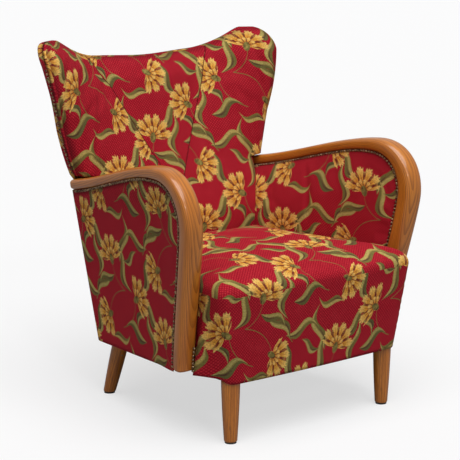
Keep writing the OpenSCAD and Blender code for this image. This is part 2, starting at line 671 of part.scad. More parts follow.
module back_stile(side) {
    y0 = corner_y(arm_foot_z) - stile_ahead;
    outline = [[y0, arm_foot_z], [y0 + stile_w, arm_foot_z],
        arm_edge(arm_rear - corner_y(outside_top_z) - stile_w + stile_ahead, gap), stile_top];
    color(beech) mirrored(side) side_board(outline, stile_x, 0, 0);
}
// Outline of a strip above the side cover's lower edge, between the upright and the stile
function foot_strip(z0, z1) = let (y = corner_y(side_low_rear_z) - stile_w * 2 / 5 - gap,
    a = side_low_front_z, b = side_low_rear_z, ya = upright_y(a + arm_cap_r) + 2 * gap)
    [[ya, a + z0], [y, b + z0], [y, b + z1], [ya, a + z1]];
module lower_side_rail(side) {
    color(beech) mirrored(side)
        side_board(foot_strip(web_t, side_rail_h), 0, gap - side_in, side_out - cloth_t - gap);
}
module side_dust_covers() {
    color(dark) for (side = [-1, 1]) mirrored(side)
        side_board(foot_strip(gap, web_t - gap), frame_half_w + gap, 0, side_out - cloth_t - gap);
}
module tacking_rail(side) {
    z1 = pad_low_z - gap;
    z0 = z1 - side_rail_h;
    y0 = stile_front(z0) - gap;
    y1 = stile_front(z1) - gap;
    outline = [[upright_y(z0) + 2 * gap, z0], [y0, z0], [y1, z1], [upright_y(z1) + 2 * gap, z1]];
    color(beech) mirrored(side)
        side_board(outline, 0, -side_in - gap - rail_t * 3 / 4, -side_in - gap);
}
module arm_blocks() {
    z0 = arm_foot_z + arm_cap_r;
    y0 = upright_y(z0) - arm_foot_h + 3 * arm_cap_r;
    outline = [[y0, z0], [upright_y(z0), z0], [upright_y(rail_top_z), rail_top_z], [y0, rail_top_z]];
    color(beech) for (side = [-1, 1]) mirrored(side)
        side_board(outline, frame_half_w + gap, 0, -arm_bend_w / 2 - gap);
}

// The seat. Rings in plan climb the walls, roll over the shoulder and close over the crown.
seat_wall_rows = 5;
seat_roll_rows = 5;
seat_crown_shares = [0.16, 0.36, 0.6, 0.82];
seat_round_r = seat_rear_half_w + seat_crown;
seat_crown_power_share = 1.2;
seat_side_shares = [0.4, 0.75];
seat_taper_shares = [0.04, 0.4, 0.7];
seat_mid_y = (seat_rear - seat_low_front) / 2;
wood_front_y = upright_y(rail_top_z) - arm_foot_h;
seat_tuck_z = back_low_z - seat_crown;
// Outline in plan: half widths at the front, beside the uprights and at the rear
function half_ring(hf, hm, hr, yf, yr, r, bow) = let (ym = wood_front_y, yb = -yf)
    concat([[0, yb - bow], [(hf - r) * seat_side_shares[0], yb - bow * (1 - pow(seat_side_shares[0], 2))],
        [(hf - r) * seat_side_shares[1], yb - bow * (1 - pow(seat_side_shares[1], 2))]],
        [for (a = [-90, -60, -30, 0]) [hf - r + r * cos(a), yb + r + r * sin(a)]],
        [[(hf + hm) / 2, (yb + r + ym) / 2], [hm, ym],
            [mix(hm, hr, seat_taper_shares[0]), ym + 2 * arm_cap_r],
            [mix(hm, hr, seat_taper_shares[1]), mix(ym, yr, seat_taper_shares[1])],
            [mix(hm, hr, seat_taper_shares[2]), mix(ym, yr, seat_taper_shares[2])],
            [hr, yr - r / 2], [hr - r / 2, yr], [hr / 2, yr], [0, yr]]);
function seat_outline(f, inset, front_in_y, d) = let (
    hf = mix(seat_low_half_w, seat_top_half_w, f) - inset - d,
    hm = mix(seat_mid_half_w, seat_mid_half_w + (seat_top_half_w - seat_mid_half_w) / 2, f) - inset - d,
    hr = seat_rear_half_w - inset - d,
    yf = mix(seat_low_front, seat_top_front, f) - front_in_y - d,
    r = max(seat_corner_r - inset, seat_corner_r / 3),
    h = half_ring(hf, hm, hr, yf, seat_rear - inset - d, r, seat_bow),
    n = len(h))
    concat(h, [for (i = [n - 2 : -1 : 1]) [-h[i][0], h[i][1]]]);
// Lower edge of the seat's walls: down to the frame in front of the uprights, tucked in behind
function wall_foot(y, low) = y < wood_front_y + gap ? low : seat_tuck_z;
function seat_rings(inset, front_in_y, low, edge, roll, crown) = let (
    span = seat_edge_z - seat_low_z,
    wall_rings = [for (k = [0 : seat_wall_rows - 1]) let (t = k / seat_wall_rows,
        o0 = seat_outline(0, inset, front_in_y, 0), o1 = seat_outline(1, inset, front_in_y, 0))
        [for (j = [0 : len(o0) - 1]) let (z = mix(wall_foot(o0[j][1], low), edge, t),
            f = clamp1((z - seat_low_z) / span), p = mix(o0[j], o1[j], f)) [p[0], p[1], z]]],
    roll_rings = [for (k = [0 : seat_roll_rows]) let (a = 90 * k / seat_roll_rows,
        f = clamp1((edge - seat_low_z) / span), d = seat_roll_d * (1 - cos(a)))
        [for (p = seat_outline(f, inset, front_in_y, d)) [p[0], p[1], edge + roll * sin(a)]]],
    top = roll_rings[seat_roll_rows],
    crown_rings = [for (t = seat_crown_shares) [for (p = top)
        let (v = [p[0], p[1] - seat_mid_y], w = mix(v, v * seat_round_r / norm(v), sqrt(t)) * (1 - t))
        [w[0], seat_mid_y + w[1], edge + roll + crown * pow(sin(90 * t), seat_crown_power_share)]]])
    concat(wall_rings, roll_rings, crown_rings);

// A bowl of rings closed over its last ring by a point, with a wall between its two surfaces
module bowl(outer, inner, outer_top, inner_top) {
    n = len(outer);
    m = len(outer[0]);
    o = n * m;
    e = (n - 1) * m;
    a = 2 * o;
    faces = concat(
        [for (i = [0 : n - 2]) for (j = [0 : m - 1]) let (k = (j + 1) % m)
            each [[i * m + j, (i + 1) * m + k, i * m + k], [i * m + j, (i + 1) * m + j, (i + 1) * m + k]]],
        [for (i = [0 : n - 2]) for (j = [0 : m - 1]) let (k = (j + 1) % m)
            each [[o + i * m + j, o + i * m + k, o + (i + 1) * m + k],
                [o + i * m + j, o + (i + 1) * m + k, o + (i + 1) * m + j]]],
        [for (j = [0 : m - 1]) let (k = (j + 1) % m) each [[j, k, o + k], [j, o + k, o + j]]],
        [for (j = [0 : m - 1]) let (k = (j + 1) % m) each [[e + j, a, e + k], [o + e + j, o + e + k, a + 1]]]);
    polyhedron(concat(flat(outer), flat(inner), [outer_top, inner_top]), faces);
}
seat_top_z = seat_edge_z + seat_roll_h + seat_crown;
spring_top_z = frame_z + spring_h;
pad_under_z = spring_top_z + 2 * gap + hessian_t;
module seat_cover() {
    c = cloth_t;
    color(cloth) bowl(seat_rings(0, 0, seat_low_z, seat_edge_z, seat_roll_h, seat_crown),
        seat_rings(c, c, seat_low_z, seat_edge_z, seat_roll_h - c, seat_crown),
        [0, seat_mid_y, seat_top_z], [0, seat_mid_y, seat_top_z - c]);
}
module seat_pad() {
    c = cloth_t + gap;
    color(stuffing) bowl(seat_rings(c, c, frame_z + gap, seat_edge_z, seat_roll_h - c, seat_crown),
        seat_rings(seat_low_half_w - frame_half_w - gap, seat_low_front - frame_front - gap,
            frame_z + gap, pad_under_z, 0, 0),
        [0, seat_mid_y, seat_top_z - c], [0, seat_mid_y, pad_under_z]);
}
// Hessian stretched from the rails' tops over the springs
module seat_hessian() {
    x0 = frame_half_w - rail_t / 3;
    x1 = seat_rear_half_w - rail_t;
    ya = -frame_front + rail_t / 3;
    yb = rear_in + rail_t / 2;
    z0 = rail_top_z + gap;
    z1 = pad_under_z - gap;
    function ring(d, z, t) = let (x = mix(x0, x1, t) - d, y0 = ya + d + rail_t * t, y1 = yb - d - rail_t * t)
        [[-x, y0, z], [x, y0, z], [x, y1, z], [-x, y1, z]];
    c = [0, (ya + yb) / 2, z1];
    color(hessian_tan) bowl([ring(0, z0, 0), ring(0, z1, 1)],
        [ring(hessian_t, z0, 0), ring(hessian_t, z1 - hessian_t, 1)], c, c - [0, 0, hessian_t]);
}

// Coil springs on the webbing, waisted, each one unbroken helix
spring_turns = 4;
spring_rings = 7;
spring_sides = 4;
spring_waist_share = 0.65;
module spring() {
    n = spring_turns * spring_rings;
    h = spring_h - 2 * spring_wire_r;
    tube([for (i = [0 : n]) let (t = i / n, a = 360 * i / spring_rings,
        r = spring_r * mix(spring_waist_share, 1, pow(2 * t - 1, 2)) - spring_wire_r,
        z = spring_wire_r + h * t)
        [for (k = [0 : spring_sides - 1]) let (b = -360 * k / spring_sides, q = r + spring_wire_r * cos(b))
            [q * cos(a), q * sin(a), z + spring_wire_r * sin(b)]]]);
}
spring_mid_y = (rear_in - front_in) / 2;
module seat_springs() {
    color(steel) for (i = [-1 : 1], j = [-1 : 1])
        translate([i * spring_across, spring_mid_y + j * spring_pitch, frame_z]) spring();
}
// Places of the straps, as shares of the springs' spacing
strap_column_shares = [-1.1, -0.37, 0.37, 1.1];
strap_row_shares = [-1.1, -0.55, 0, 0.55, 1.1];
module seat_webbing() {
    x = frame_half_w - rail_t / 4;
    color(hessian_tan) {
        for (k = strap_row_shares) let (y = spring_mid_y + k * spring_pitch)
            bar([-x, y - web_w / 2, frame_z - web_t], [x, y + web_w / 2, frame_z]);
        for (k = strap_column_shares) let (c = k * spring_across)
            bar([c - web_w / 2, -frame_front + rail_t / 4, web_z],
                [c + web_w / 2, frame_rear - rail_t / 4, frame_z - web_t]);
    }
}
module dust_cover() {
    t = web_t / 2;
    z = web_z - gap - t;
    y = cloth_t + gap * 3;
    color(dark) difference() {
        bar([-frame_half_w, -frame_front - rail_t / 6, z],
            [frame_half_w, outside_low_y - cloth_t - 2 * gap, z + t]);
        for (side = [-1, 1]) {
            translate([side * front_leg_x, -front_leg_y, z - cut])
                cylinder(h = 2 * cut, r = front_leg_top_r + y);
            translate([side * rear_top_x, rear_top_y, z - cut])
                cylinder(h = 2 * cut, r = rear_leg_top_r + 2 * y);
        }
    }
}

// Decorative nails. A head is a low cone frustum, seated on the cover square to it.
nail_face_share = 0.55;
nail_away = nail_r + 2 * gap;
module nail(p, out) {
    n = out / norm(out);
    translate(p + n * 2 * gap) rotate([0, acos(n[2]), atan2(n[1], n[0])])
        cylinder(h = nail_h, r1 = nail_r, r2 = nail_r * nail_face_share, $fn = 16);
}
module outer_nails(side) {
    n = floor((arm_len - corner_s) / nail_pitch);
    color(nail_brown) mirrored(side) for (i = [0 : n - 1]) {
        p = arm_edge(corner_s + (i + 0.5) * nail_pitch, edge_gap + nail_away);
        if (p[1] > side_low_front_z + nail_away)
            nail([side_x(p[0], p[1]) + side_out, p[0], p[1]], [1, toe_share, -lean_share]);
    }
}
module inner_nails(side) {
    n = floor((pad_s1 - pad_s0) / nail_pitch);
    q = (side_rows - 1) / side_rows;
    away = 3 * gap + cloth_t;
    color(nail_brown) mirrored(side) for (i = [0 : n - 1]) {
        t = (i + 0.5) / n * side_cols;
        t0 = floor(t) / side_cols;
        t1 = t0 + 1 / side_cols;
        b0 = inner_point(t0, 1, away, true);
        b1 = inner_point(t1, 1, away, true);
        a = mix(inner_point(t0, q, away, true), inner_point(t1, q, away, true), t - floor(t));
        b = mix(b0, b1, t - floor(t));
        nail(mix(b, a, nail_away / norm(b - a)), cross(b - a, b1 - b0));
    }
}
// Edge of the outside back above the arms (column 0) and the line of points beside it (column 1)
function wing_line(k, axis) = [for (i = [back_low_rows + 1 : back_rows])
    let (c = back_cell(i, back_cols - k, gap), p = back_skin(c[0], c[1], c[2], 1, gap)) [p[2], p[axis]]];
module wing_nails(side) {
    z0 = back_waist_z + nail_pitch;
    n = floor((ear_z - ear_r - z0) / nail_pitch);
    tables = [for (k = [0, 1], axis = [0, 1]) wing_line(k, axis)];
    color(nail_brown) mirrored(side) for (i = [0 : n]) {
        z = z0 + i * nail_pitch;
        a = [lookup(z, tables[0]), lookup(z, tables[1]), z];
        b = [lookup(z, tables[2]), lookup(z, tables[3]), z];
        c = [lookup(z + nail_r, tables[0]), lookup(z + nail_r, tables[1]), z + nail_r];
        nail(mix(a, b, nail_away / norm(b - a)), cross(b - a, c - a));
    }
}
seat_nail_count = 7;
function seat_side(j, z) = let (f = (z - seat_low_z) / (seat_edge_z - seat_low_z),
    p = seat_outline(f, 0, 0, 0)[j]) [p[0], p[1], z];
module seat_nails() {
    color(nail_brown) for (side = [-1, 1]) mirrored(side) for (i = [0 : seat_nail_count - 1]) {
        z = frame_z + nail_away + i * nail_pitch;
        a = seat_side(7, z);
        b = seat_side(8, z);
        nail(mix(b, a, nail_away / norm(b - a)), cross(b - a, seat_side(8, z + nail_r) - b));
    }
}

front_seat_rail();
rear_seat_rail();
side_seat_rail(-1);  // left_seat_rail
side_seat_rail(1);  // right_seat_rail
corner_blocks();
frame_dowels();
back_post(-1);  // left_back_post
back_post(1);  // right_back_post
back_rail(back_rail_z, back_rail_z + back_rail_h);  // back_top_rail
back_rail(back_low_z + gap, back_low_z + back_rail_h);  // back_lower_rail
wing_frame(-1);  // left_wing_frame
wing_frame(1);  // right_wing_frame
back_stile(-1);  // left_back_stile
back_stile(1);  // right_back_stile
lower_side_rail(-1);  // left_lower_side_rail
lower_side_rail(1);  // right_lower_side_rail
tacking_rail(-1);  // left_tacking_rail
tacking_rail(1);  // right_tacking_rail
arm_blocks();
arm(-1);  // left_arm
arm(1);  // right_arm
front_leg(-1);  // front_left_leg
front_leg(1);  // front_right_leg
rear_leg(-1);  // rear_left_leg
rear_leg(1);  // rear_right_leg
leg_bolts();
leg_glides();
seat_webbing();
seat_springs();
seat_hessian();
seat_pad();
seat_cover();
back_webbing();
back_hessian();
back_pad();
inside_back_cover();
outside_back_cover();
arm_hessian(-1);  // left_arm_hessian
arm_hessian(1);  // right_arm_hessian
arm_pad(-1);  // left_arm_pad
arm_pad(1);  // right_arm_pad
inside_arm_cover(-1);  // left_inside_arm_cover
inside_arm_cover(1);  // right_inside_arm_cover
outside_arm_cover(-1);  // left_outside_arm_cover
outside_arm_cover(1);  // right_outside_arm_cover
dust_cover();
side_dust_covers();
outer_nails(-1);  // left_outer_nails
outer_nails(1);  // right_outer_nails
inner_nails(-1);  // left_inner_nails
inner_nails(1);  // right_inner_nails
wing_nails(-1);  // left_wing_nails
wing_nails(1);  // right_wing_nails
seat_nails();
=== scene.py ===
"""Fireside chair: show-wood arms, winged back and tight seat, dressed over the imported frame.

Lengths are written in millimetres in the part's own frame (X right, Y back, Z up, the chair
faces -Y) and become metres where a mesh is made. Cloth patterns are laid out in metres.
"""

from __future__ import annotations

import logging
import math
from collections.abc import Sequence
from dataclasses import dataclass, field
from enum import Enum

import bmesh
import bpy
import numpy as np
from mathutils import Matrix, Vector


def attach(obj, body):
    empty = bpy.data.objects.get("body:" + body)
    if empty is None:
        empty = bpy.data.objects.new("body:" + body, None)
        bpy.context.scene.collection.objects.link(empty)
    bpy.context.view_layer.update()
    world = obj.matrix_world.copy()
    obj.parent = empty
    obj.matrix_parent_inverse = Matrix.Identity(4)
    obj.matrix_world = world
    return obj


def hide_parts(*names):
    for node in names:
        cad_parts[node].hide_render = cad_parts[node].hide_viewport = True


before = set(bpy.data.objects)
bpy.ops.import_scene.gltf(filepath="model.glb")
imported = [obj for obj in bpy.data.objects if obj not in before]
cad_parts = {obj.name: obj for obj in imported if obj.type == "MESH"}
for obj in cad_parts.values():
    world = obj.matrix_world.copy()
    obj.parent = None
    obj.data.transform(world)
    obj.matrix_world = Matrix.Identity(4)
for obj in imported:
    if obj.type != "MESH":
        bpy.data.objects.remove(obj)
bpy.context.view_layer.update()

Array = np.ndarray
Triple = tuple[float, float, float]
Piece = bpy.types.Object
Material = bpy.types.Material
Socket = bpy.types.NodeSocket
MM = 0.001  # a millimetre, in metres
GAP = 0.3  # clearance between neighbouring surfaces
CLOTH_T = 2.0  # thickness of the cover cloth
WELD = 0.00002  # distance within which points become one, in metres
log = logging.getLogger("fireside_chair")


def ramp(low: float, high: float, x: Array) -> Array:
    """Return a smooth rise from 0 at low to 1 at high."""
    t = np.clip((x - low) / (high - low), 0.0, 1.0)
    return t * t * (3.0 - 2.0 * t)


def mix(a: Array, b: Array, t: Array) -> Array:
    """Return the straight blend from a to b."""
    return a + (b - a) * t


def power(x: Array, k: float) -> Array:
    """Return the signed power, which squares off a sine or cosine when k is below 1."""
    return np.sign(x) * np.abs(x) ** k


def unit(v: Array) -> Array:
    """Return vectors brought to length 1."""
    return v / np.linalg.norm(v, axis=-1, keepdims=True)


def pick(at: Array, run: Array, points: Array) -> Array:
    """Return places on a line, by straight steps between its known points.

    Args:
        at: Lengths along the line.
        run: Length run so far at each known point.
        points: The known points, one row each.

    Returns:
        The places.
    """
    return np.stack([np.interp(at, run, column) for column in points.T], -1)


def cubic(points: Sequence[Sequence[float]], t: Array) -> Array:
    """Return points of a cubic arc.

    Args:
        points: The arc's four control points.
        t: Positions along it, from 0 to 1.

    Returns:
        The points, one row for each position, as the usual sum of the four weights.
    """
    p = np.array(points, float)
    t = np.asarray(t, float)[:, None]
    return p[0] * (1 - t) ** 3 + 3 * p[1] * t * (1 - t) ** 2 + 3 * p[2] * t * t * (1 - t) + p[3] * t**3


def run_along(points: Array, axis: int) -> Array:
    """Return the running length of a grid of points along one of its axes.

    Args:
        points: The grid of points.
        axis: The axis.

    Returns:
        The lengths, 0 at each first point.
    """
    steps = np.linalg.norm(np.diff(points, axis=axis), axis=-1)
    shape = list(steps.shape)
    shape[axis] = 1
    return np.concatenate([np.zeros(shape), np.cumsum(steps, axis=axis)], axis=axis)


@dataclass
class Patch:
    """A grid of points with its cloth or grain coordinates.

    Attributes:
        points: Rows and columns of points, in millimetres.
        uv: Pattern coordinates of the same rows and columns, in metres.
        held: Share from 0 to 1 by which a point is held still while the piece is stuffed.
        grain: Place in the wood, in metres: along the grain, across it and through it.
        painted_shade: Share from 0 to 1 of painted shade beside a seam or an edge.
        seam: Distance from a stitched line, in metres, below 0 on its inner side.
        flip: Whether the faces turn the other way.
    """

    points: Array
    uv: Array | None = None
    held: Array | None = None
    grain: Array | None = None
    painted_shade: Array | None = None
    seam: Array | None = None
    flip: bool = False

    def layer(self, title: str, size: int, fallback: float) -> Array:
        """Return one layer's values, a row for each point.

        Args:
            title: The layer's name.
            size: Values in a row.
            fallback: Value where the patch has no such layer.

        Returns:
            The rows.
        """
        values = getattr(self, title)
        count = self.points.shape[0] * self.points.shape[1]
        return np.full((count, size), fallback) if values is None else values.reshape(count, size)


def build_piece(name: str, patches: Sequence[Patch]) -> Piece:
    """Weld patches into one mesh piece, shaded smooth.

    Every patch gives one four-sided face for each cell of its grid. Points of neighbouring
    patches that lie on each other become one, so that seams and poles are closed, while each
    face keeps its own pattern coordinates.

    Args:
        name: The piece's name.
        patches: The grids that make up the piece.

    Returns:
        The new object, at the origin.
    """
    faces, base = [], 0
    for patch in patches:
        rows, cols = patch.points.shape[:2]
        index = np.arange(rows * cols).reshape(rows, cols) + base
        corners = (index[:-1, :-1], index[:-1, 1:], index[1:, 1:], index[1:, :-1])
        quads = np.stack(corners, -1).reshape(-1, 4)
        faces.append(quads[:, ::-1] if patch.flip else quads)
        base += rows * cols
    mesh = bpy.data.meshes.new(name)
    quads = np.vstack(faces)
    mesh.from_pydata(np.vstack([patch.points.reshape(-1, 3) * MM for patch in patches]), [], quads)
    uv = np.vstack([patch.layer("uv", 2, 0.0) for patch in patches])
    pattern = mesh.uv_layers.new(name="pattern").uv
    pattern.foreach_set("vector", uv[quads.reshape(-1)].astype(np.float32).reshape(-1))
    for title, kind, key, size, fallback in (
        ("held", "FLOAT", "value", 1, 1.0),
        ("grain", "FLOAT_VECTOR", "vector", 3, 0.0),
        # the next layer carries painted shade beside seams and edges
        ("painted_shade", "FLOAT", "value", 1, 0.0),
        ("seam", "FLOAT", "value", 1, 1.0),
    ):
        values = np.vstack([patch.layer(title, size, fallback) for patch in patches]).reshape(-1)
        mesh.attributes.new(title, kind, "POINT").data.foreach_set(key, values.astype(np.float32))
    work = bmesh.new()
    work.from_mesh(mesh)
    bmesh.ops.remove_doubles(work, verts=work.verts, dist=WELD)
    bmesh.ops.dissolve_degenerate(work, edges=work.edges, dist=WELD)
    for face in work.faces:
        face.smooth = True
    work.to_mesh(mesh)
    work.free()
    piece = bpy.data.objects.new(name, mesh)
    bpy.context.collection.objects.link(piece)
    return piece


def turn_outwards(piece: Piece) -> None:
    """Make the faces of a closed piece point outwards.

    Args:
        piece: The piece.
    """
    work = bmesh.new()
    work.from_mesh(piece.data)
    bmesh.ops.recalc_face_normals(work, faces=work.faces)
    if work.calc_volume(signed=True) < 0:
        bmesh.ops.reverse_faces(work, faces=work.faces)
    work.to_mesh(piece.data)
    work.free()


def dress(piece: Piece, finish: Material) -> None:
    """Give a piece its one finish."""
    piece.data.materials.clear()
    piece.data.materials.append(finish)


class Side(Enum):
    """The two sides of the chair, as signs of X."""

    LEFT = -1
    RIGHT = 1

    @property
    def word(self) -> str:
        """Return the side's name as it stands in node names."""
        return self.name.lower()

    def mirror(self, points: Array) -> Array:
        """Return points of the right side carried over to this one."""
        return points * np.array([self.value, 1.0, 1.0])

    @property
    def flips(self) -> bool:
        """Return whether carrying points over to this side turns their faces round."""
        return self is Side.LEFT


@dataclass(frozen=True)
class ArmLine:
    """Centreline and section of a show-wood arm, in the leaning plane of that side.

    Attributes:
        half_w: Distance of the plane from the middle at the crest's height.
        top_z: Height of the centreline's crest.
        foot_z: Height of its lower end.
        front: Reach ahead of the origin.
        rear: Reach behind the origin.
        lean: Lean of the plane outwards with height.
        toe: Toe-in of the plane towards the back.
        rail_h: Depth of the section along the armrest.
        bend_h: Depth of the section round the front bend.
        foot_h: Depth of the section at the lower end.
        rear_w: Width at the rear end.
        bend_w: Width round the bend.
        foot_w: Width at the lower end.
        square: Squareness of the section, 1 for an ellipse.
        thick: Shares of the length between which the section grows to its full depth.
        table: Length run so far, Y and Z of points on the centreline.
    """

    half_w: float = 346.0
    top_z: float = 682.0
    foot_z: float = 184.0
    front: float = 324.0
    rear: float = 282.0
    lean: float = 0.0587
    toe: float = 0.0948
    rail_h: float = 28.0
    bend_h: float = 47.0
    foot_h: float = 38.0
    rear_w: float = 47.0
    bend_w: float = 57.0
    foot_w: float = 54.0
    square: float = 0.62
    thick: tuple[float, float] = (0.36, 0.62)
    table: Array = field(default=None, init=False)

    def __post_init__(self) -> None:
        """Work out the centreline: three cubic arcs in side view, with the length run so far."""
        arcs = (
            ((1, 0.795), (0.65, 0.859), (0.411, 1), (0.196, 1)),
            ((0.196, 1), (0.073, 1), (0, 0.89), (0, 0.759)),
            ((0, 0.759), (0, 0.643), (0.125, 0.08), (0.114, 0)),
        )
        t = np.linspace(0, 1, 81)
        line = np.vstack([cubic(arcs[0], t)[:-1], cubic(arcs[1], t)[:-1], cubic(arcs[2], t)])
        reach, rise = self.front + self.rear, self.top_z - self.foot_z
        line = line * np.array([reach, rise]) + np.array([-self.front, self.foot_z])
        object.__setattr__(self, "table", np.column_stack([run_along(line, 0), line]))

    @property
    def length(self) -> float:
        """Return the centreline's length."""
        return float(self.table[-1, 0])

    def x(self, y: Array, z: Array) -> Array:
        """Return the plane's distance from the middle at a place in side view."""
        return self.half_w + self.lean * (z - self.top_z) - self.toe * y

    def at(self, s: Array) -> Array:
        """Return places (Y, Z) on the centreline at given lengths along it."""
        return pick(s, self.table[:, 0], self.table[:, 1:])

    def side(self, s: Array) -> Array:
        """Return unit directions from the wood towards the covered panel.

        Args:
            s: Lengths along the centreline.

        Returns:
            The directions.
        """
        step = self.length / 100
        v = self.at(np.minimum(s + step, self.length)) - self.at(np.maximum(s - step, 0.0))
        v = unit(v)
        return np.stack([-v[..., 1], v[..., 0]], -1)

    def height(self, s: Array) -> Array:
        """Return the section's depth: thin along the armrest, full in the bend, less at the foot.

        Args:
            s: Lengths along the centreline.

        Returns:
            The depths.
        """
        u = np.asarray(s) / self.length
        up = mix(self.rail_h, self.bend_h, ramp(self.thick[0], self.thick[1], u))
        return np.where(u < self.thick[1], up, mix(self.bend_h, self.foot_h, ramp(self.thick[1], 1, u)))

    def width(self, s: Array) -> Array:
        """Return the section's width, greatest round the bend.

        Args:
            s: Lengths along the centreline.

        Returns:
            The widths.
        """
        u = np.asarray(s) / self.length
        up = mix(self.rear_w, self.bend_w, ramp(0, self.thick[1], u))
        return np.where(u < self.thick[1], up, mix(self.bend_w, self.foot_w, ramp(self.thick[1], 1, u)))

    def edge(self, s: Array, away: float) -> Array:
        """Return places beside the wood, at a distance from its edge towards the panel."""
        return self.at(s) + self.side(s) * (self.height(s) / 2 + away)[..., None]

    def hollow(self, s: Array, out: Array) -> Array:
        """Return how far the wood's face lies inside its edge, at a distance from its plane.

        The section is a superellipse, so its depth there is the edge's depth times one less
        the distance's share of the half width, each raised to the section's powers.

        Args:
            s: Lengths along the centreline.
            out: Distances from the arm's plane.

        Returns:
            The distances.
        """
        share = np.clip(out / (self.width(s) / 2), 0.0, 0.98)
        return self.height(s) / 2 * (1 - (1 - share ** (2 / self.square)) ** (self.square / 2))

    def upright_y(self, z: float) -> float:
        """Return how far behind the origin the upright's rear edge lies at a height.

        Args:
            z: The height.

        Returns:
            The distance.
        """
        s = np.linspace(self.length * 0.6, self.length, 200)
        e = self.edge(s, GAP)
        return float(np.interp(z, e[::-1, 1], e[::-1, 0]))

    def front_y(self, z: float) -> float:
        """Return how far behind the origin the upright's front edge lies at a height.

        Args:
            z: The height.

        Returns:
            The distance.
        """
        s = np.linspace(self.length * 0.7, self.length, 200)
        e = self.at(s) - self.side(s) * (self.height(s) / 2 + GAP)[:, None]
        return float(np.interp(z, e[::-1, 1], e[::-1, 0]))


ARM = ArmLine()


@dataclass
class ShowWoodArm:
    """A bent show-wood arm: one rounded section carried along the arm's line.

    Attributes:
        side: The side of the chair that it stands on.
        cap_r: Rounding of its two ends.
        trim: Length by which its rear end stops short of the line.
        around: Number of faces round the section.
        along: Number of rings between the ends.
    """

    side: Side
    cap_r: float = 7.0
    trim: float = 28.0
    around: int = 48
    along: int = 190

    def rings(self) -> tuple[Array, Array]:
        """Work out the arm's surface.

        A ring is a superellipse: depth times the signed power of the sine in the arm's plane
        and width times the signed power of the cosine across it. The rings shrink over the
        last millimetres of each end by a quarter circle, and the ends close to a point.

        Returns:
            The grid of points and each point's place in the wood.
        """
        line = ARM
        quarter = np.radians(np.linspace(0, 90, 7))
        inwards = self.cap_r * (1 - np.cos(quarter))
        loss = 2 * self.cap_r * (1 - np.sin(quarter))
        body = np.linspace(self.trim + self.cap_r, line.length - self.cap_r, self.along)[1:-1]
        s = np.concatenate([self.trim + inwards, body, line.length - inwards[::-1]])
        less = np.concatenate([loss, np.zeros(len(body)), loss[::-1]])
        a = np.linspace(0, -2 * np.pi, self.around + 1)
        depth = power(np.sin(a), line.square) * (line.height(s) - less)[:, None] / 2
        across = power(np.cos(a), line.square) * (line.width(s) - less)[:, None] / 2
        middle, normal = line.at(s), line.side(s)
        y = middle[:, :1] + normal[:, :1] * depth
        z = middle[:, 1:] + normal[:, 1:] * depth
        points = np.stack([line.x(y, z) + across, y, z], -1)
        grain = np.stack([s[:, None] + 0 * depth, across, depth], -1) * MM
        shares = np.array([0.0, 0.4, 0.75])
        ends = []
        for row in (0, -1):
            centre = points[row, :-1].mean(axis=0)
            fan = centre + (points[row] - centre) * shares[:, None, None]
            core = grain[row, :-1].mean(axis=0)
            ends.append((fan, core + (grain[row] - core) * shares[:, None, None]))
        points = np.concatenate([ends[0][0], points, ends[1][0][::-1]])
        grain = np.concatenate([ends[0][1], grain, ends[1][1][::-1]])
        return points, grain

    def build(self, wood: Material) -> Piece:
        """Make the arm and dress it in show wood.

        Args:
            wood: The finish.

        Returns:
            The arm.
        """
        points, grain = self.rings()
        patch = Patch(self.side.mirror(points), grain=grain, flip=self.side.flips)
        piece = build_piece(f"{self.side.word}_show_wood_arm", [patch])
        turn_outwards(piece)
        dress(piece, wood)
        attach(piece, "root")
        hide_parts(f"{self.side.word}_arm")
        return piece


@dataclass
class TurnedLeg:
    """A turned leg: round level sections whose centres lean from the foot to the top.

    Attributes:
        name: The leg's name, as its node has it.
        foot: Place of the foot's centre.
        top: Place of the top's centre.
        top_r: Radius at the top.
        foot_r: Radius at the foot.
        low_z: Height of the foot above the floor.
        top_z: Height of the top.
        belly: Swell of the taper at its middle.
        ease: Rounding of the foot's edge.
    """

    name: str
    foot: tuple[float, float]
    top: tuple[float, float]
    top_r: float
    foot_r: float = 17.0
    low_z: float = 4.0
    top_z: float = 165.0
    belly: float = 0.8
    ease: float = 3.0

    def build(self, wood: Material) -> Piece:
        """Make the leg and dress it in show wood.

        The radius tapers evenly from top to foot with a slight sine swell between, and turns
        in by a quarter circle at the foot.

        Args:
            wood: The finish.

        Returns:
            The leg.
        """
        quarter = np.radians(np.linspace(0, 90, 6))
        z = np.concatenate([
            [self.low_z, self.low_z],
            self.low_z + self.ease * (1 - np.cos(quarter)),
            np.linspace(self.low_z + self.ease, self.top_z, 30)[1:],
            [self.top_z],
        ])
        t = (z - self.low_z) / (self.top_z - self.low_z)
        r = mix(self.foot_r, self.top_r, t) + self.belly * np.sin(np.pi * t)
        r[2:8] -= self.ease * (1 - np.sin(quarter))
        r[[0, -1]] = 0.0
        r[1] = r[2] * 0.6
        a = np.linspace(0, 2 * np.pi, 49)
        lean = z / self.top_z
        cx = mix(self.foot[0], self.top[0], lean)[:, None]
        cy = mix(self.foot[1], self.top[1], lean)[:, None]
        dx, dy = r[:, None] * np.cos(a), r[:, None] * np.sin(a)
        points = np.stack([cx + dx, cy + dy, z[:, None] + 0 * dx], -1)
        grain = np.stack([z[:, None] + 0 * dx, dx, dy], -1) * MM
        piece = build_piece(f"{self.name}_turned", [Patch(points, grain=grain)])
        turn_outwards(piece)
        dress(piece, wood)
        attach(piece, "root")
        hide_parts(self.name)
        return piece


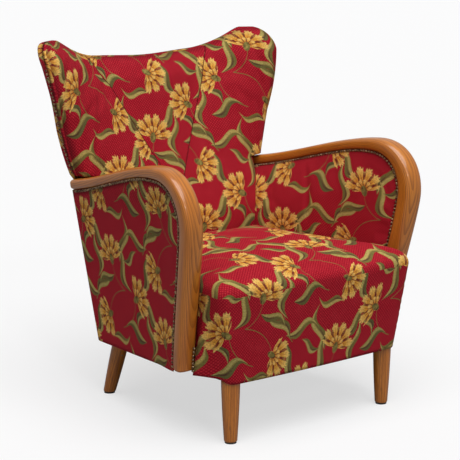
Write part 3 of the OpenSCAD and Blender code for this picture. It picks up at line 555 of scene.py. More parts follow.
@dataclass(frozen=True)
class BackShape:
    """Shape of the winged back, shared by its inside and its outside.

    Attributes:
        top_z: Height of the top edge in the middle.
        ear_rise: Rise of the ears above it.
        ear_r: Radius of the ears.
        low_w: Half width between the arms.
        waist_w: Half width just above the arms.
        ear_w: Half width at the ears.
        waist_z: Height at which the back widens.
        low_t: Thickness at the waist.
        top_t: Thickness at the ears.
        face_y: Distance of the inside face behind the origin at the arm crest's height.
        face_z: That height.
        rake: Rake of the inside face.
        loin_d: Depth of the swell at the loins.
        loin_z: Height of that swell.
        loin_h: Reach of that swell up and down.
        slopes: Forward slope of the wings at the lowest point, waist, fold and top.
        low_z: Lowest point of the inside.
        rim_r: Depth of the rounded rim.
        puff: Height of the inside's puff.
        crease_w: Half width between the folds at the height where it is measured.
        crease_z: That height.
        fold_slope: Spread of the folds with height.
        blend: Half width of the bend at a fold.
    """

    top_z: float = 903.0
    ear_rise: float = 62.0
    ear_r: float = 60.0
    low_w: float = 286.0
    waist_w: float = 316.0
    ear_w: float = 390.0
    waist_z: float = 605.0
    low_t: float = 78.0
    top_t: float = 50.0
    face_y: float = 284.0
    face_z: float = 682.0
    rake: float = 0.3235
    loin_d: float = 14.0
    loin_z: float = 470.0
    loin_h: float = 130.0
    slopes: tuple[float, ...] = (0.05, 0.13, 0.27, 0.6)
    low_z: float = 384.0
    rim_r: float = 27.0
    puff: float = 9.0
    crease_w: float = 110.0
    crease_z: float = 730.0
    fold_slope: float = 0.52
    blend: float = 35.0

    def face(self, z: Array) -> Array:
        """Return the inside face's distance behind the origin: a rake with a swell at the loins."""
        swell = self.loin_d * np.exp(-(((z - self.loin_z) / self.loin_h) ** 2))
        return self.face_y + self.rake * (z - self.face_z) - swell

    def slope(self, z: Array) -> Array:
        """Return the wings' forward slope in plan, growing with height."""
        return np.interp(z, (self.low_z, self.waist_z, self.crease_z, self.top_z), self.slopes)

    def past_fold(self, x: Array, z: Array) -> Array:
        """Return how far a point lies outside the fold where its wing begins."""
        return np.abs(x) - np.maximum(self.blend, self.crease_w + self.fold_slope * (z - self.crease_z))

    def deep(self, x: Array, z: Array, k: Array) -> Array:
        """Return points at a depth behind the inside face, measured square to it in plan.

        Args:
            x: Distance across.
            z: Height.
            k: Depth behind the face.

        Returns:
            The points. A wing leaves the face on a parabola and goes on straight.
        """
        q, r = self.past_fold(x, z), self.blend
        run = np.where(q < -r, 0, np.where(q > r, q, (q + r) ** 2 / (4 * r)))
        tilt = self.slope(z) * np.where(q < -r, 0, np.where(q > r, 1, (q + r) / (2 * r)))
        c = 1 / np.sqrt(1 + tilt**2)
        across = x + np.sign(x) * tilt * c * k
        return np.stack([across, self.face(z) - self.slope(z) * run + c * k, z + 0 * x], -1)

    def thickness(self, z: Array) -> Array:
        """Return the back's thickness at a height."""
        ear = self.top_z + self.ear_rise
        return mix(self.low_t, self.top_t, ramp(self.waist_z, ear - self.ear_rise * 2, z))

    def half_width(self, z: Array) -> Array:
        """Return the half width above the arms: it widens to the ears, which are rounded.

        Args:
            z: The heights.

        Returns:
            The half widths.
        """
        ear = self.top_z + self.ear_rise
        t = np.clip((z - self.waist_z) / (ear - self.waist_z), 0, 1)
        q = np.clip(z - (ear - self.ear_r), 0, None) / self.ear_r
        rounding = 0.85 * self.ear_r * (1 - np.sqrt(np.clip(1 - q * q, 0, 1)))
        return mix(self.waist_w, self.ear_w, 1 - (1 - t) ** 1.4) - rounding

    def top(self, s: Array) -> Array:
        """Return the top edge's height at a share of the half width, rising to the ears."""
        a = np.abs(s)
        return self.top_z + self.ear_rise * (0.13 * ramp(0, 0.5, a) + 0.87 * ramp(0.42, 0.92, a))

    def skin(self, x: Array, z: Array, edge: Array, top: Array, face: int, inset: float,
             puff: float) -> Array:
        """Return points of the padded front or of the outside.

        The depth from the middle surface is half the thickness times a quarter-circle rim in
        the distance from the outline, and the front also puffs a little towards the middle.

        Args:
            x: Distance across.
            z: Height.
            edge: Half width of the outline there.
            top: Height of the outline there.
            face: -1 for the front, 1 for the outside.
            inset: Distance inside the finished surface.
            puff: Height of the puff.

        Returns:
            The points.
        """
        d = np.minimum(edge - inset - np.abs(x), np.clip(top - inset - z, 0, None) * 0.95)
        rim = np.sqrt(np.clip(1 - (1 - np.clip(d / self.rim_r, 0, 1)) ** 2, 0, 1))
        half = self.thickness(z) / 2
        out = puff * ramp(0, self.low_t, d) if face < 0 else 0.0
        return self.deep(x, z, half + face * (GAP + (half - inset) * rim + out))


BACK = BackShape()
CORNER_R = 38.0  # rounding of the side's rear corner
CORNER_LOW_Y = 150.0  # where that corner starts to turn at the seat's lower edge
CORNER_RAKE = 0.23
SIDE_OUT = 14.0  # distance of the outer panel from the arm's plane
SEAT_LOW_Z = 160.0
OUT_LOW_FRONT_Z = 180.0  # lower edge of the outer panel
OUT_LOW_REAR_Z = 166.0
OUT_TOP_Z = float(ARM.table[0, 2]) - ARM.rail_h / 2 - GAP


def corner_y(z: Array | float) -> Array | float:
    """Return where the side's rear corner starts to turn, behind the origin, at a height."""
    return CORNER_LOW_Y + CORNER_RAKE * (z - SEAT_LOW_Z)


def corner_x(z: Array) -> Array:
    """Return the centre of the rear corner's rounding, across."""
    return ARM.x(corner_y(z), z) + SIDE_OUT - CORNER_R


CORNER_S = ARM.rear - corner_y(OUT_TOP_Z)  # length along the arm at which the corner starts


@dataclass(frozen=True)
class Stuffing:
    """How firmly a padded cover is filled by the cloth simulation.

    Attributes:
        pressure: Push of the filling.
        reach: Furthest that a point may move, in millimetres.
        slack: Extra cloth, as a share.
        stiffness: Stretch stiffness of the cover.
        bending: Bending stiffness of the cover.
        mass: Mass of a point of the cover, in kilograms.
        damping: Damping by the air.
        quality: Steps of the simulation in a frame.
        frames: Number of frames.
    """

    pressure: float
    reach: float
    slack: float
    stiffness: float = 15.0
    bending: float = 0.6
    mass: float = 0.4
    damping: float = 4.0
    quality: int = 6
    frames: int = 20


def plump(piece: Piece, stuffing: Stuffing) -> None:
    """Blow a padded cover out by cloth simulation and keep the result in its mesh.

    The attribute "held" pins points, and gravity is off. A point that moved further than the
    stuffing's reach is brought back along its own path.

    Args:
        piece: The padded piece.
        stuffing: Its filling.
    """
    mesh = piece.data
    count = len(mesh.vertices)
    held = np.zeros(count, np.float32)
    mesh.attributes["held"].data.foreach_get("value", held)
    group = piece.vertex_groups.new(name="held")
    for level in np.unique(np.round(held, 2)):
        group.add(np.flatnonzero(np.round(held, 2) == level).tolist(), float(level), "REPLACE")
    start = np.zeros(count * 3, np.float32)
    mesh.vertices.foreach_get("co", start)
    cloth = piece.modifiers.new("filling", "CLOTH")
    rule = cloth.settings
    rule.vertex_group_mass = "held"
    rule.use_pressure = True
    rule.uniform_pressure_force = stuffing.pressure
    rule.effector_weights.gravity = 0.0
    rule.quality = stuffing.quality
    rule.mass = stuffing.mass
    rule.shrink_min = -stuffing.slack
    rule.tension_stiffness = stuffing.stiffness
    rule.compression_stiffness = stuffing.stiffness
    rule.shear_stiffness = stuffing.stiffness / 2
    rule.bending_stiffness = stuffing.bending
    rule.air_damping = stuffing.damping
    cloth.point_cache.frame_start = 1
    cloth.point_cache.frame_end = stuffing.frames
    scene = bpy.context.scene
    for number in range(1, stuffing.frames + 1):
        scene.frame_set(number)
    evaluated = piece.evaluated_get(bpy.context.evaluated_depsgraph_get())
    end = np.zeros(count * 3, np.float32)
    evaluated.data.vertices.foreach_get("co", end)
    piece.modifiers.remove(cloth)
    piece.vertex_groups.remove(group)
    scene.frame_set(1)
    move = (end - start).reshape(-1, 3)
    far = np.linalg.norm(move, axis=1, keepdims=True)
    move *= np.minimum(1.0, stuffing.reach * MM / np.maximum(far, 1e-9))
    mesh.vertices.foreach_set("co", (start.reshape(-1, 3) + move).reshape(-1).astype(np.float32))
    mesh.update()
    log.info("%s: filled, mean move %.1f mm, most %.1f mm", piece.name, far.mean() / MM, far.max() / MM)


@dataclass
class BackUpholstery:
    """The back's padded inside and its stretched outside.

    Attributes:
        cols: Columns across the back.
        low_rows: Rows between the seat and the arms.
        high_rows: Rows above the arms.
        ledge_h: Half the height of the ledge over the arms' ends.
        spread_z: Height from which the inside's columns spread.
        puff: Puff of the inside before it is filled.
        rear_d: Depth of the stuffing's hidden rear ahead of the middle surface.
        grip: Distances from the outline between which the hold on the cover lets go.
        bow_y: Place of the outside's middle behind the origin at its lower edge.
    """

    cols: int = 110
    low_rows: int = 30
    high_rows: int = 64
    ledge_h: float = 3.0
    spread_z: float = 470.0
    puff: float = 3.0
    rear_d: float = 11.0
    grip: tuple[float, float] = (2.0, 34.0)
    bow_y: float = 190.0

    def shares(self) -> Array:
        """Return shares of the half width, closer together towards the edges."""
        return np.sin(np.pi / 2 * np.linspace(-1, 1, self.cols + 1))[None, :]

    def across(self, points: Array) -> Array:
        """Return lengths across the back, measured from its middle column."""
        run, middle = run_along(points, 1), self.cols // 2
        return run - run[:, middle : middle + 1]

    def inside_grid(self) -> tuple[Array, Array, Array, Array]:
        """Work out where the inside's rows and columns lie.

        Below the arms the middle columns spread towards the waist as the ones above do, and
        only the outer ones jump outwards over the arms.

        Returns:
            Points, distances across, heights and half widths.
        """
        s, b = self.shares(), BACK
        z_low = np.linspace(b.low_z, b.waist_z - self.ledge_h, self.low_rows)[:, None] + 0 * s
        grow = ramp(self.spread_z, b.waist_z, z_low) * (1 - ramp(0.78, 1, np.abs(s)))
        x_low = s * (b.low_w + (b.waist_w - b.low_w) * grow)
        k = np.linspace(0, 1, self.high_rows + 1)[:, None]
        z_high = mix(b.waist_z + self.ledge_h, b.top(s), np.sin(np.pi / 2 * k))
        x_high = s * b.half_width(z_high)
        ledge = np.linspace(0, 1, 6)[1:-1, None]
        z_mid = mix(z_low[-1:], z_high[:1], ledge)
        x_mid = mix(x_low[-1:], x_high[:1], ramp(0, 1, ledge))
        x = np.vstack([x_low, x_mid, x_high])
        z = np.vstack([z_low, z_mid, z_high])
        edge = np.abs(x[:, -1:]) + 0 * s
        points = b.skin(x, z, edge, b.top(s) + 0 * z, -1, 0.0, self.puff)
        return points, x, z, edge

    def inside(self, cloth: Material) -> Piece:
        """Make the padded inside of the back, filled by simulation.

        Args:
            cloth: The cover's finish.

        Returns:
            The piece.
        """
        points, x, z, edge = self.inside_grid()
        under = BACK.deep(x, z, BACK.thickness(z) / 2 - self.rear_d)
        rear = points.copy()
        rear[1:-1, 1:-1] = under[1:-1, 1:-1]
        waist = self.low_rows + 2
        up = run_along(points, 0)
        up = up - up[waist : waist + 1] + BACK.waist_z
        uv = np.stack([self.across(points), up], -1) * MM
        d = np.minimum(edge - np.abs(x), BACK.top(self.shares()) - z)
        held = 1 - ramp(*self.grip, np.minimum(d, z - BACK.low_z + self.grip[0]))
        # Painted shade along the sides and top edge, fading over 16 mm inwards.
        painted_shade = 1 - ramp(0, 16, d)
        slant = BACK.fold_slope
        seam = (np.abs(x) - BACK.crease_w - slant * (z - BACK.crease_z)) / math.hypot(1.0, slant) * MM
        piece = build_piece("inside_back", [
            Patch(points, uv=uv, held=held, painted_shade=painted_shade, seam=seam),
            Patch(rear, uv=uv, flip=True),
        ])
        turn_outwards(piece)
        plump(piece, Stuffing(pressure=4.0, reach=11.0, slack=0.012))
        dress(piece, cloth)
        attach(piece, "root")
        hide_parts("inside_back_cover", "back_pad")
        return piece

    def outside_grid(self) -> Array:
        """Work out the outside back.

        Below the arms each row is a shallow parabola between the side corners. Above them it
        is the back's rear skin, and between the two it passes straight over the arms' ends.

        Returns:
            The grid of points.
        """
        s, b = self.shares(), BACK
        t = np.linspace(0, 1, self.low_rows)[:, None]
        z = mix(OUT_LOW_REAR_Z, OUT_TOP_Z, t)
        rear = corner_y(z) + CORNER_R
        bow = mix(self.bow_y, b.face(b.waist_z) + b.low_t, t)
        low = np.stack([
            s * (corner_x(z) - GAP),
            mix(rear, np.maximum(rear, bow), 1 - s * s) - GAP,
            z + 0 * s,
        ], -1)
        k = np.linspace(0, 1, self.high_rows + 1)[:, None]
        z_high = mix(b.waist_z + GAP, b.top(s) - GAP, np.sin(np.pi / 2 * k))
        w = b.half_width(z_high)
        high = b.skin(s * (w - GAP), z_high, w, b.top(s) + 0 * z_high, 1, GAP, 0.0)
        steps = ramp(0, 1, np.linspace(0, 1, 8)[1:-1])[:, None, None]
        return np.concatenate([low, mix(low[-1:], high[:1], steps), high])

    def outside(self, cloth: Material) -> Piece:
        """Make the stretched outside of the back.

        Args:
            cloth: The cover's finish.

        Returns:
            The piece.
        """
        points = self.outside_grid()
        across = self.across(points)
        up = run_along(points, 0) + OUT_LOW_REAR_Z
        uv = np.stack([-across, up], -1) * MM
        # Painted shade along the two side edges, fading over 10 mm.
        painted_shade = 1 - ramp(0, 10, np.minimum(across.max(axis=1, keepdims=True) - np.abs(across), 100))
        patch = Patch(points, uv=uv, painted_shade=painted_shade, flip=True)
        piece = build_piece("outside_back", [patch])
        thicken(piece)
        dress(piece, cloth)
        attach(piece, "root")
        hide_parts("outside_back_cover")
        return piece


def thicken(piece: Piece) -> None:
    """Give a stretched cover its cloth's thickness, inwards from its outer face.

    Args:
        piece: The cover.
    """
    wall = piece.modifiers.new("cloth", "SOLIDIFY")
    wall.thickness = CLOTH_T * MM
    wall.offset = -1.0


@dataclass
class ArmCovers:
    """The covers of one side: the stretched outer panel and the padded inner one.

    Attributes:
        side: The side of the chair.
        cols: Columns along the wood.
        rows: Rows from the lower edge up to the wood.
        edge_gap: Clearance between the cover and the wood.
        swell: Swell of the outer panel's wadding beside the wood.
        hem: Width of the hem turned in under the wood.
        start: Distance above the wood's lower end at which the outer panel starts.
        wall: Distance of the padding's rear from the arm's plane.
        pad_t: Thickness of the padding beside the wood.
        bulge: What it has more low down.
        lumbar: What it has more low down at the back.
        lumbar_y: Place of that behind the origin.
        tuck: Depth of the inner panel below the inside of the back.
        front_share: Share of the wood's length at which the inner panel's front edge lies.
        rear_share: Share of the back's half width at which it meets the back.
        rear_lap: What it runs on behind the back's face.
    """

    side: Side
    cols: int = 110
    rows: int = 44
    edge_gap: float = 0.9
    swell: float = 8.0
    hem: float = 2.0
    start: float = 7.0
    wall: float = 14.0
    pad_t: float = 3.0
    bulge: float = 12.0
    lumbar: float = 44.0
    lumbar_y: float = 194.0
    tuck: float = 35.0
    front_share: float = 0.79
    rear_share: float = 0.95
    rear_lap: float = 34.0

    def proud(self, y: Array, z: Array, t: Array) -> Array:
        """Return how far the outer panel stands out from the arm's plane.

        It swells beside the wood, where its wadding is nailed, and not at the rear corner.

        Args:
            y: Places behind the origin.
            z: Heights.
            t: Shares of the way from the upright's foot to the rear corner.

        Returns:
            The distances.
        """
        s = np.linspace(CORNER_S, ARM.length, 160)
        e = ARM.edge(s, self.edge_gap)
        near = np.hypot(y[..., None] - e[:, 0], z[..., None] - e[:, 1]).min(axis=-1)
        return SIDE_OUT + self.swell * (1 - ramp(4.0, 90.0, near)) * (1 - ramp(0.8, 1.0, t))

    def outer_away(self, s: Array) -> Array:
        """Return the outer panel's distance from the wood's edge, so that it meets the rounding.

        Args:
            s: Lengths along the centreline.

        Returns:
            The distances.
        """
        share = (ARM.length - s) / (ARM.length - CORNER_S)
        out = SIDE_OUT + self.swell * (1 - ramp(0.8, 1.0, share))
        return self.edge_gap - ARM.hollow(s, out)

    def outer_grid(self) -> tuple[Array, Array]:
        """Work out the outer panel with the turned rear corner.

        A column runs straight from the lower line up to the wood's edge. The corner's columns
        stand on a quarter circle about an upright that rakes back.

        Returns:
            Points and pattern coordinates, which are the panel's own side view.
        """
        line = ARM
        t = np.linspace(0, 1, self.cols + 1)[:, None]
        q = np.linspace(0, 1, self.rows + 1)[None, :]
        s = mix(line.length - self.start, CORNER_S, t[:, 0])
        upper = line.edge(s, self.outer_away(s))[:, None, :]
        low_y = mix(line.upright_y(OUT_LOW_FRONT_Z + self.start), corner_y(OUT_LOW_REAR_Z), t)
        low_z = mix(OUT_LOW_FRONT_Z, OUT_LOW_REAR_Z, t)
        lower = np.stack([low_y, low_z], -1)
        place = mix(lower, upper, q[..., None])
        y, z = place[..., 0], place[..., 1]
        flat = np.stack([line.x(y, z) + self.proud(y, z, t), y, z], -1)
        a = np.linspace(0, np.pi / 2, 15)[1:, None]
        zc = mix(OUT_LOW_REAR_Z, OUT_TOP_Z, q) + 0 * a
        yc = corner_y(zc)
        turned = np.stack([corner_x(zc) + CORNER_R * np.cos(a), yc + CORNER_R * np.sin(a), zc], -1)
        uv = np.stack([y, z], -1)
        uv_corner = np.stack([yc + CORNER_R * a, zc], -1)
        points, uv = np.concatenate([flat, turned]), np.concatenate([uv, uv_corner])
        fold = points[:, -1:].copy()
        fold[: len(flat), 0, 0] -= mix(self.hem, CORNER_R, ramp(0.85, 1.0, t[:, 0]))
        fold[len(flat) :, 0, :2] = np.stack([corner_x(zc), yc], -1)[:, -1]
        uv_fold = uv[:, -1:] + np.array([0.0, CORNER_R])
        return np.concatenate([points, fold], 1), np.concatenate([uv, uv_fold], 1) * MM

    def outer(self, cloth: Material) -> Piece:
        """Make the outer panel, stretched from the wood round the rear corner.

        Args:
            cloth: The cover's finish.

        Returns:
            The piece.
        """
        points, uv = self.outer_grid()
        uv = uv * np.array([-self.side.value, 1.0])
        patch = Patch(self.side.mirror(points), uv=uv, flip=not self.side.flips)
        q = np.linspace(0, 1, self.rows + 2)[None, :] + 0 * points[..., 0]
        # Painted shade along the top, where the wood overhangs the nails.
        patch.painted_shade = ramp(0.93, 0.965, q)
        piece = build_piece(f"{self.side.word}_outer_side", [patch])
        thicken(piece)
        dress(piece, cloth)
        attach(piece, "root")
        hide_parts(f"{self.side.word}_outside_arm_cover")
        return piece

    def pad_depth(self, y: Array, q: Array) -> Array:
        """Return the padding's depth: full low down and at the back, thin beside the wood."""
        swell = self.lumbar * ramp(-ARM.front, self.lumbar_y, y) * (1 - q**3)
        return self.wall + GAP + self.pad_t + self.bulge * (1 - q**4) + swell

    def inner_place(self, t: Array, q: Array) -> Array:
        """Return side-view places of the inner panel: columns along the wood, rows up to it.

        Args:
            t: Shares of the way from the upright to the back.
            q: Shares of the way up to the wood.

        Returns:
            Places behind the origin and heights.
        """
        line, b = ARM, BACK
        low_z = b.low_z - self.tuck

        def rear_y(z: float) -> float:
            """Return where the panel ends at the back's face, behind the origin."""
            x, top = self.rear_share * b.low_w, b.top(self.rear_share)
            return float(b.skin(x, z, b.low_w, top, -1, 0.0, b.puff)[1]) + self.rear_lap

        s = mix(line.length * self.front_share, line.rear - rear_y(OUT_TOP_Z), t[:, 0])
        out = self.pad_depth(0.0, 1.0) + CLOTH_T + GAP
        upper = line.edge(s, self.edge_gap - line.hollow(s, out))[:, None, :]
        low_y = mix(line.upright_y(low_z) + self.edge_gap, rear_y(low_z), t)
        lower = np.stack([low_y, low_z + 0 * low_y], -1)
        return mix(lower, upper, q[..., None])

    def inner(self, cloth: Material) -> Piece:
        """Make the padded inner panel, filled by simulation.

        Args:
            cloth: The cover's finish.

        Returns:
            The piece.
        """
        t = np.linspace(0, 1, self.cols + 1)[:, None]
        q = np.linspace(0, 1, self.rows + 1)[None, :]
        place = self.inner_place(t, q)
        y, z = place[..., 0], place[..., 1]
        deep = self.pad_depth(y, q) + CLOTH_T + GAP
        x = ARM.x(y, z)
        front = np.stack([x - deep, y, z], -1)
        rear = front.copy()
        rear[1:-1, 1:-1, 0] = (x - self.wall - GAP)[1:-1, 1:-1]
        up = run_along(front, 1) + z[:, :1]
        uv = np.stack([y, up], -1) * MM * np.array([self.side.value, 1.0])
        edge = np.minimum(np.minimum(q * 12, (1 - q) * 6), np.minimum(t * 12, (1 - t) * 12))
        held = 1 - ramp(0.0, 1.0, edge)
        # Painted shade under the wood and along the front edge beside the upright.
        painted_shade = np.maximum(ramp(0.95, 1.0, q + 0 * t), 1 - ramp(0, 0.05, t + 0 * q))
        piece = build_piece(f"{self.side.word}_inner_side", [
            Patch(self.side.mirror(front), uv=uv, held=held, painted_shade=painted_shade),
            Patch(self.side.mirror(rear), uv=uv, flip=True),
        ])
        turn_outwards(piece)
        plump(piece, Stuffing(pressure=2.5, reach=6.0, slack=0.01))
        dress(piece, cloth)
        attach(piece, "root")
        word = self.side.word
        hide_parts(f"{word}_inside_arm_cover", f"{word}_arm_pad")
        return piece


@dataclass
class TightSeat:
    """The tight sprung seat: walls, a rolled shoulder and a crowned top in one cover.

    Attributes:
        low_z: Height of the cover's lower edge.
        edge_z: Height of the shoulder.
        roll_h: Rise of the rolled edge.
        roll_d: Depth of the rolled edge in plan.
        square: Exponent of the rolled edge's superellipse.
        crown: Rise of the crown above it, before it is filled.
        crown_k: Exponent of the crown's profile.
        round_r: Radius towards which the crown's rings grow round.
        tuck_z: Lowest point of the sides behind the uprights.
        rear: Distance of its rear edge behind the origin.
        bow: Bow of its front in plan.
        step: Spacing of the columns.
        lap: Width of the cover in front of the uprights.
        lift: Rise of its lower edge towards the uprights.
        dart_x: Distance from the middle at which the corner darts end.
        dart_h: Height of the darts above the shoulder.
        wrap: Number of the outline's point where the cover meets the upright.
        front_w: Half widths at the front, low and at the shoulder.
        side_w: Half widths beside the uprights.
        rear_w: Half width at the rear.
        front: Reaches ahead of the origin, low and at the shoulder.
        corner_r: Rounding of the front corners.
        least_r: Least rounding of the stuffing's inner side.
        step_y: Spread of the outline's two steps at the uprights.
        straight: Length of the straight sides behind the uprights' front.
        taper: Distance behind the uprights' front at which the sides draw in.
        inside: Distances of the stuffing's inner side from the sides and from the front.
        hollow: Heights between which that inner side lies.
        hem_h: Height over which the lower edge's painted shade and hold are measured.
        give: Share by which the front wall gives way to the stuffing.
        give_y: Place ahead of which it does.
    """

    low_z: float = SEAT_LOW_Z
    edge_z: float = 388.0
    roll_h: float = 36.0
    roll_d: float = 38.0
    square: float = 2.2
    crown: float = 21.0
    crown_k: float = 1.2
    round_r: float = 262.0
    tuck_z: float = 354.0
    rear: float = 150.0
    bow: float = 7.0
    step: float = 9.0
    lap: float = 22.0
    lift: float = 14.0
    dart_x: float = 215.0
    dart_h: float = 12.0
    wrap: int = 18
    front_w: tuple[float, float] = (290.0, 324.0)
    side_w: tuple[float, float] = (310.0, 317.0)
    rear_w: float = 232.0
    front: tuple[float, float] = (371.0, 390.0)
    corner_r: float = 30.0
    least_r: float = 10.0
    step_y: float = 0.4
    straight: float = 24.0
    taper: float = 44.0
    inside: tuple[float, float] = (13.0, 14.0)
    hollow: tuple[float, float] = (165.3, 400.0)
    hem_h: float = 60.0
    give: float = 0.55
    give_y: float = -300.0

    def outline(self, f: float, inset: float, ahead: float, d: float) -> Array:
        """Return control points of half the outline in plan, from front middle to rear middle.

        Args:
            f: 0 at the lower edge, 1 at the shoulder.
            inset: Distance inside the finished surface.
            ahead: The same for the front.
            d: Further distance inwards.

        Returns:
            The points of the right half: a bowed front, a quarter circle and the tapering side.
        """
        hf = mix(*self.front_w, f) - inset - d
        hm = mix(*self.side_w, f) - inset - d
        lap = self.lap * (1 - float(ramp(0.5, 0.9, f)))
        hr = self.rear_w - inset - d
        yb = -(mix(*self.front, f) - ahead - d)
        yr = self.rear - inset - d
        r = max(self.corner_r - inset, self.least_r)
        ym = ARM.front_y(mix(self.low_z, self.edge_z, f)) - 0.5 * inset
        u = np.linspace(0, 1, 9)[:-1]
        front = np.column_stack([(hf - r) * u, yb - self.bow * (1 - u**2)])
        a = np.radians(np.linspace(-90, 0, 9))
        corner = np.column_stack([hf - r + r * np.cos(a), yb + r + r * np.sin(a)])
        tail = np.array([
            [mix(hf, hm + lap, 0.5), mix(yb + r, ym, 0.5)], [hm + lap, ym], [hm, ym + self.step_y],
            [hm, ym + self.straight], [hm, ym + (self.straight + self.step_y)],
            [mix(hm, hr, 0.1), ym + self.taper],
            [mix(hm, hr, 0.4), mix(ym, yr, 0.4)], [mix(hm, hr, 0.7), mix(ym, yr, 0.7)],
            [hr, yr - r / 2], [hr - 0.13 * r, yr - 0.13 * r], [hr - r / 2, yr], [hr / 2, yr], [0, yr],
        ])
        return np.vstack([front, corner, tail])

    def columns(self) -> Array:
        """Return evenly spaced places along the control points, as fractions of their count.

        Returns:
            The places.
        """
        ring = self.outline(1, 0, 0, 0)
        run = run_along(ring, 0)
        count = int(run[-1] / self.step)
        even = np.interp(np.linspace(0, run[-1], count + 1), run, np.arange(len(ring)))
        return np.unique(np.concatenate([even, np.arange(self.wrap, self.wrap + 4)]))

    def ring(self, f: float, inset: float, ahead: float, d: float) -> Array:
        """Return one whole outline, closed on itself, with its start at the front middle.

        Args:
            f: 0 at the lower edge, 1 at the shoulder.
            inset: Distance inside the finished surface.
            ahead: The same for the front.
            d: Further distance inwards.

        Returns:
            The outline's points.
        """
        control = self.outline(f, inset, ahead, d)
        half = pick(self.columns(), np.arange(len(control)), control)
        other = half[::-1][1:] * np.array([-1, 1])
        return np.vstack([half, other])

    def shoulder(self, roll: float, count: int) -> Array:
        """Return the rolled edge's profile: distances inwards and rises, evenly spaced.

        Args:
            roll: Rise of the roll.
            count: Number of rows.

        Returns:
            A quarter of a superellipse, resampled by its length.
        """
        a = np.radians(np.linspace(0, 90, 181))
        k = 2 / self.square
        profile = np.column_stack([self.roll_d * (1 - np.cos(a) ** k), roll * np.sin(a) ** k])
        run = run_along(profile, 0)
        return pick(np.linspace(0, run[-1], count + 1), run, profile)

    def rings(self, inset: float, ahead: float, low: float, edge: float, roll: float,
              crown: float, counts: tuple[int, int, int]) -> tuple[Array, Array, Array]:
        """Work out walls, roll and crown.

        The walls climb from the lower edge to the shoulder. The roll is a quarter superellipse,
        and the crown shrinks the top outline towards its middle, growing rounder, while its
        height follows the sine of the share gone.

        Args:
            inset: Distance inside the finished surface.
            ahead: The same for the front.
            low: Height of the walls' lower edge in front of the uprights.
            edge: Height of the shoulder.
            roll: Rise of the roll.
            crown: Rise of the crown.
            counts: Rows of walls, roll and crown.

        Returns:
            The three grids.
        """
        o0, o1 = self.ring(0, inset, ahead, 0), self.ring(1, inset, ahead, 0)
        t = np.linspace(0, 1, counts[0] + 1)[:, None]
        at = self.columns()
        lifted = low + self.lift * ramp(self.wrap - 7, self.wrap, at)
        foot = np.where(at <= self.wrap + 2, lifted, self.tuck_z)
        foot = np.concatenate([foot, foot[::-1][1:]])[None, :]
        z = mix(foot, edge, t)
        f = np.clip((z - self.low_z) / (self.edge_z - self.low_z), 0, 1)[..., None]
        walls = np.concatenate([mix(o0, o1, f), z[..., None]], -1)
        share = float(np.clip((edge - self.low_z) / (self.edge_z - self.low_z), 0, 1))
        rolls = np.stack([
            np.column_stack([self.ring(share, inset, ahead, inwards), np.full(len(o0), edge + up)])
            for inwards, up in self.shoulder(roll, counts[1])
        ])
        middle = np.array([0.0, (self.rear - self.front[0]) / 2])
        v = rolls[-1, :, :2] - middle
        k = np.linspace(0, 1, counts[2] + 1)[:, None, None]
        far = np.linalg.norm(v, axis=1, keepdims=True)
        plan = mix(v, v * (self.round_r / far), np.sqrt(k)) * (1 - k)
        rise = edge + roll + crown * np.sin(np.pi / 2 * k[..., 0]) ** self.crown_k + 0 * plan[..., 0]
        return walls, rolls, np.concatenate([plan + middle, rise[..., None]], -1)

    def dart(self, points: Array) -> Array:
        """Return distances from the darts stitched at the two front corners, in metres."""
        short = np.maximum(0.0, self.dart_x - np.abs(points[..., 0]))
        return np.hypot(points[..., 2] - self.edge_z - self.dart_h, short * 0.5) * MM

    def build(self, cloth: Material) -> Piece:
        """Make the seat, closed over its stuffing, and fill it by simulation.

        Args:
            cloth: The cover's finish.

        Returns:
            The piece.
        """
        walls, rolls, top = self.rings(0, 0, self.low_z, self.edge_z, self.roll_h, self.crown,
                                       (26, 12, 34))
        run = run_along(walls[-1:], 1)[0]
        around = np.where(np.arange(len(run)) <= len(run) // 2, run, run - run[-1])[None, :]
        roll_down = run_along(rolls[::-1], 0)[::-1]
        wall_down = run_along(walls[::-1], 0)[::-1] + roll_down[:1]
        lip = rolls[-1]
        front_y = np.minimum(lip[:, 1], lip[0, 1] + self.bow)
        uv_wall = np.stack([around + 0 * wall_down, front_y[None, :] - wall_down], -1) * MM
        out = unit(rolls[0, :, :2] - lip[:, :2])
        uv_roll = (lip[None, :, :2] + out[None] * roll_down[..., None]) * MM
        uv_top = top[..., :2] * MM
        height = (walls[..., 2] - self.low_z) / self.hem_h
        held_wall = 1 - self.give * ramp(0.2, 1.0, height) * (walls[..., 1] < self.give_y)
        span = np.linspace(0, 1, rolls.shape[0])[:, None] + 0 * rolls[..., 0]
        held_roll = mix(held_wall[-1:], 0.0, ramp(0, 1, span))
        inner = self.rings(*self.inside, *self.hollow, 0.0, 0.0, (6, 1, 10))
        # Painted shade along the walls' lower edge, darker towards the bottom.
        dusk = 1 - ramp(0, 0.12, height)
        patches = [
            Patch(walls, uv=uv_wall, held=held_wall, painted_shade=dusk, seam=self.dart(walls)),
            Patch(rolls, uv=uv_roll, held=held_roll, seam=self.dart(rolls)),
            Patch(top, uv=uv_top, held=0 * top[..., 0]),
            Patch(np.stack([walls[0], inner[0][0]])),
            Patch(inner[0]),
            Patch(np.stack([inner[0][-1], inner[2][0]])),
            Patch(inner[2]),
        ]
        piece = build_piece("tight_seat", patches)
        turn_outwards(piece)
        plump(piece, Stuffing(pressure=3.0, reach=14.0, slack=0.008))
        dress(piece, cloth)
        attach(piece, "root")
        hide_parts("seat_cover", "seat_pad")
        return piece


